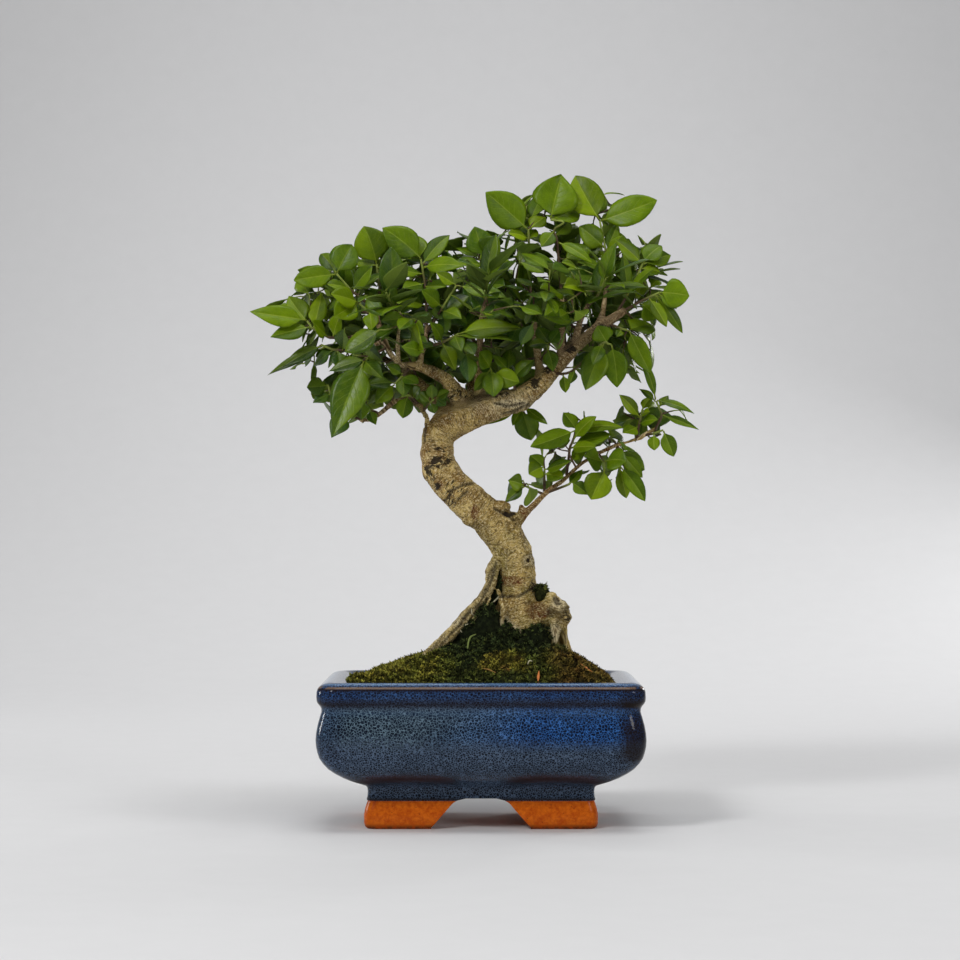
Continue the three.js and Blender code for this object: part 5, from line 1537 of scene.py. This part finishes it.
def rosettes(foot, rise, own, high, random):
    """Moss plants, each with pointed keeled leaflets that spread from its foot."""
    foot, rise, own, high = (np.repeat(values, LEAFLETS, axis=0) for values in (foot, rise, own, high))
    count = len(foot)
    rise = units(rise)
    side = units(np.cross(rise, [0.3, 0.9, 0.2]))
    turn = 2 * math.pi * (np.arange(count) / LEAFLETS + own[:, 0]) + 0.5 * random.random(count)
    tilt = np.radians(15 + 55 * random.random(count))
    outward = np.cos(turn)[:, None] * side + np.sin(turn)[:, None] * np.cross(rise, side)
    way = np.cos(tilt)[:, None] * rise + np.sin(tilt)[:, None] * outward
    across = units(np.cross(way, rise))
    tall = ((1.3 + 1.9 * random.random(count)) * (0.6 + 0.7 * own[:, 1]) * MM)[:, None]
    wide = ((0.36 + 0.3 * random.random(count)) * MM)[:, None]
    middle = foot + 0.45 * tall * way + 0.14 * MM * rise
    points = [foot - 0.4 * MM * rise, middle + wide * across, middle - wide * across, foot + tall * way]
    points = np.stack(points, axis=1).reshape(-1, 3)
    corners = 4 * np.arange(count)[:, None]
    triangles = np.concatenate([corners + face for face in LEAFLET_FACES])
    made = mesh_object("moss_tufts", points, [triangles], [MOSS], smooth=False)
    local = in_mm(foot)
    patches = moss_patches(local)
    patches[:, 0] = np.clip(patches[:, 0] + 0.6 * (own[:, 0] - 0.5), 0, 1)
    patches[:, 1] = np.clip(patches[:, 1] + 0.5 * (own[:, 1] - 0.5), 0, 1)
    clumps = smoothstep(-0.45, 0.45, layered_noise(local, 4.5, 2, 75))
    # Painted light and shade: each plant's own brightness, varied in clumps and lighter on the cushions'
    # crests, runs from a dark leaflet foot to a lit tip.
    light = (0.08 + 1.35 * own[:, 2] ** 1.7) * (0.35 + 0.75 * clumps) * (0.75 + 0.25 * high) + 0.08
    tip = np.stack([0.05 * light, 0.6 * light, 0.6 * light, light], axis=1)
    set_attribute(made.data, "patch", np.repeat(patches, 4, axis=0))
    set_attribute(made.data, "tip", np.clip(tip, 0, 1).ravel())
    return made


def build_moss():
    random = np.random.default_rng([SEED, MOSS_SEED])
    shapes = [(MOSS_POINTS, MOSS_FACES), *(lump(*place) for place in MOSS_LUMPS)]
    piece = remeshed("moss_mat", shapes, MOSS_VOXEL)
    mesh = piece.data
    points, normals = points_of(mesh), normals_of(mesh)
    local = in_mm(points)
    facing = smoothstep(-0.1, 0.5, normals[:, 2])
    crest = cushions(points, random)
    height = 1.3 * crest + 1.6 * layered_noise(local, 11, 3, 81) - 0.5
    points = points + normals * (height * facing * MM)[:, None]
    put_points(mesh, points)
    set_attribute(mesh, "patch", moss_patches(local))
    # The mat gets tips near 0, so it is painted near black as shade, a little lighter on the crests.
    set_attribute(mesh, "tip", 0.02 + 0.14 * crest)
    coat(mesh, MOSS)
    corners = triangles_in(mesh)
    a, b, c = (points[corners[:, k]] for k in range(3))
    cross = np.cross(b - a, c - a)
    area = np.linalg.norm(cross, axis=1)
    way = cross / np.maximum(area, 1e-15)[:, None]
    high = crest[corners].mean(axis=1)
    weight = area * smoothstep(0.0, 0.45, way[:, 2]) * (0.25 + high)
    chosen = random.choice(len(area), ROSETTES, p=weight / weight.sum())
    s, t = random.random((2, ROSETTES))
    flip = s + t > 1
    s[flip], t[flip] = 1 - s[flip], 1 - t[flip]
    foot = a[chosen] + s[:, None] * (b - a)[chosen] + t[:, None] * (c - a)[chosen]
    rise = way[chosen] + random.normal(0, 0.3, (ROSETTES, 3))
    own = random.random((ROSETTES, 3))
    dress(piece, "moss", "moss")
    dress(rosettes(foot, rise, own, high[chosen], random), "moss")


MOSS = moss_material()
build_moss()

# What lies on the moss as seen from the front: a route of [x, z] in mm, the half widths, how high it is
# lifted off the moss, and its kind: 0 for a pale rootlet, 0.5 for a green stalk and 1 for a dry orange bit.
LYING = [
    ([(-10, 123), (-5, 124.8), (2.3, 133), (10, 139.3), (12, 142.8)], (0.35, 0.5, 0.5, 0.35), 4, 0),
    ([(-8.4, 108), (-7.9, 112), (-6.5, 115.5), (-3.1, 117.2)], (0.3, 0.6, 0.65, 0.3), 3.4, 0.5),
    ([(-12, 113), (-11, 116.5), (-13, 119.5)], (0.25, 0.35, 0.25), 3, 0),
    ([(-2, 128), (-5.5, 130), (-6, 133.5)], (0.25, 0.3, 0.2), 3, 0),
    ([(29.5, 98.3), (30.5, 100.4), (32.5, 100.2)], (0.25, 0.4, 0.25), 3, 0),
    ([(36, 87.6), (36.2, 90.5), (36.6, 94)], (0.35, 0.95, 0.2), 5, 1),
    ([(62.5, 98.6), (66, 96.2), (70, 93.4)], (0.35, 0.6, 0.35), 3, 0.9),
    ([(1.5, 95.6), (5, 94.8), (9.2, 93)], (0.2, 0.4, 0.2), 3.5, 0.75),
]


def build_litter():
    bunch = Bunch()
    for route, radii, lift, kind in LYING:
        line = catmull([sight_hit(x, z, lift) for x, z in route], 4)
        points, *faces = tube(line, stepped(radii, len(line)) * MM)
        bunch.add(points, *faces, 0, kind=np.full(len(points), kind))
    dress(bunch.piece("moss_litter", [litter_material()]), "moss")


build_litter()

# Studio

SENSOR = 36
FOCAL_PIXELS = 2495
FRAME_PIXELS = 960
HORIZON_PIXEL = 523
FLOOR_HALF_WIDTH = 4.5
FLOOR_FRONT = -3.0
FLOOR_BACK = 1.0
WALL_BEND = 1.4
WALL_TOP = 4.5
AIM_CROWN = (0, 0, 0.22)
AIM_POT = (0, 0, 0.1)
# Each lamp: its place, its size, its power, and where it looks.
LAMPS = {
    "key": ((-1.0, -1.5, 1.5), 0.5, 21, AIM_CROWN),
    "fill": ((1.5, -1.3, 1.0), 0.5, 8, AIM_CROWN),
    "top": ((0.1, -0.3, 1.8), 1.1, 13, AIM_CROWN),
    "back": ((0.0, 1.0, 1.3), 0.7, 7, (0, 1.9, 0.0)),
    "rim_left": ((-1.7, 0.5, 0.45), 0.4, 8, AIM_POT),
    "rim_right": ((1.1, 1.5, 0.6), 0.35, 5, AIM_POT),
}


def stage():
    bends = np.linspace(0.1, math.pi / 2, 14)
    profile = [(FLOOR_FRONT, 0.0), (FLOOR_BACK, 0.0)]
    profile += [(FLOOR_BACK + WALL_BEND * math.sin(a), WALL_BEND - WALL_BEND * math.cos(a)) for a in bends]
    profile += [(FLOOR_BACK + WALL_BEND, WALL_TOP)]
    points = [(x, y, z) for y, z in profile for x in (-FLOOR_HALF_WIDTH, FLOOR_HALF_WIDTH)]
    quads = [(2 * k, 2 * k + 1, 2 * k + 3, 2 * k + 2) for k in range(len(profile) - 1)]
    m = Nodes("studio_floor")
    shade = m.mix(m.noise(m.position(), 40.0), "d2d2d3", "d6d6d7")
    floor = mesh_object("studio_floor", points, [quads], [m.finish(m.principled(shade, 0.75))])
    world = bpy.data.worlds.new("studio")
    bpy.context.scene.world = world
    world.use_nodes = True
    background = world.node_tree.nodes["Background"]
    background.inputs["Color"].default_value = srgb("f2f2f2")
    background.inputs["Strength"].default_value = 0.25
    for name, (place, size, power, aim) in LAMPS.items():
        data = bpy.data.lights.new(name, "AREA")
        data.shape = "DISK"
        data.size = size
        data.energy = power
        lamp = added(name, data)
        lamp.location = place
        lamp.rotation_mode = "QUATERNION"
        lamp.rotation_quaternion = (Vector(aim) - lamp.location).to_track_quat("-Z", "Y")


def camera():
    data = bpy.data.cameras.new("camera")
    data.sensor_width = SENSOR
    data.lens = SENSOR * FOCAL_PIXELS / FRAME_PIXELS
    data.clip_start = 0.05
    data.clip_end = 30
    lens = added("camera", data)
    lens.location = CAMERA
    pitch = math.atan((HORIZON_PIXEL - FRAME_PIXELS / 2) / FOCAL_PIXELS)
    lens.rotation_euler = (math.pi / 2 + pitch, 0, 0)
    bpy.context.scene.camera = lens


stage()
camera()
bpy.context.scene.view_settings.view_transform = "Standard"
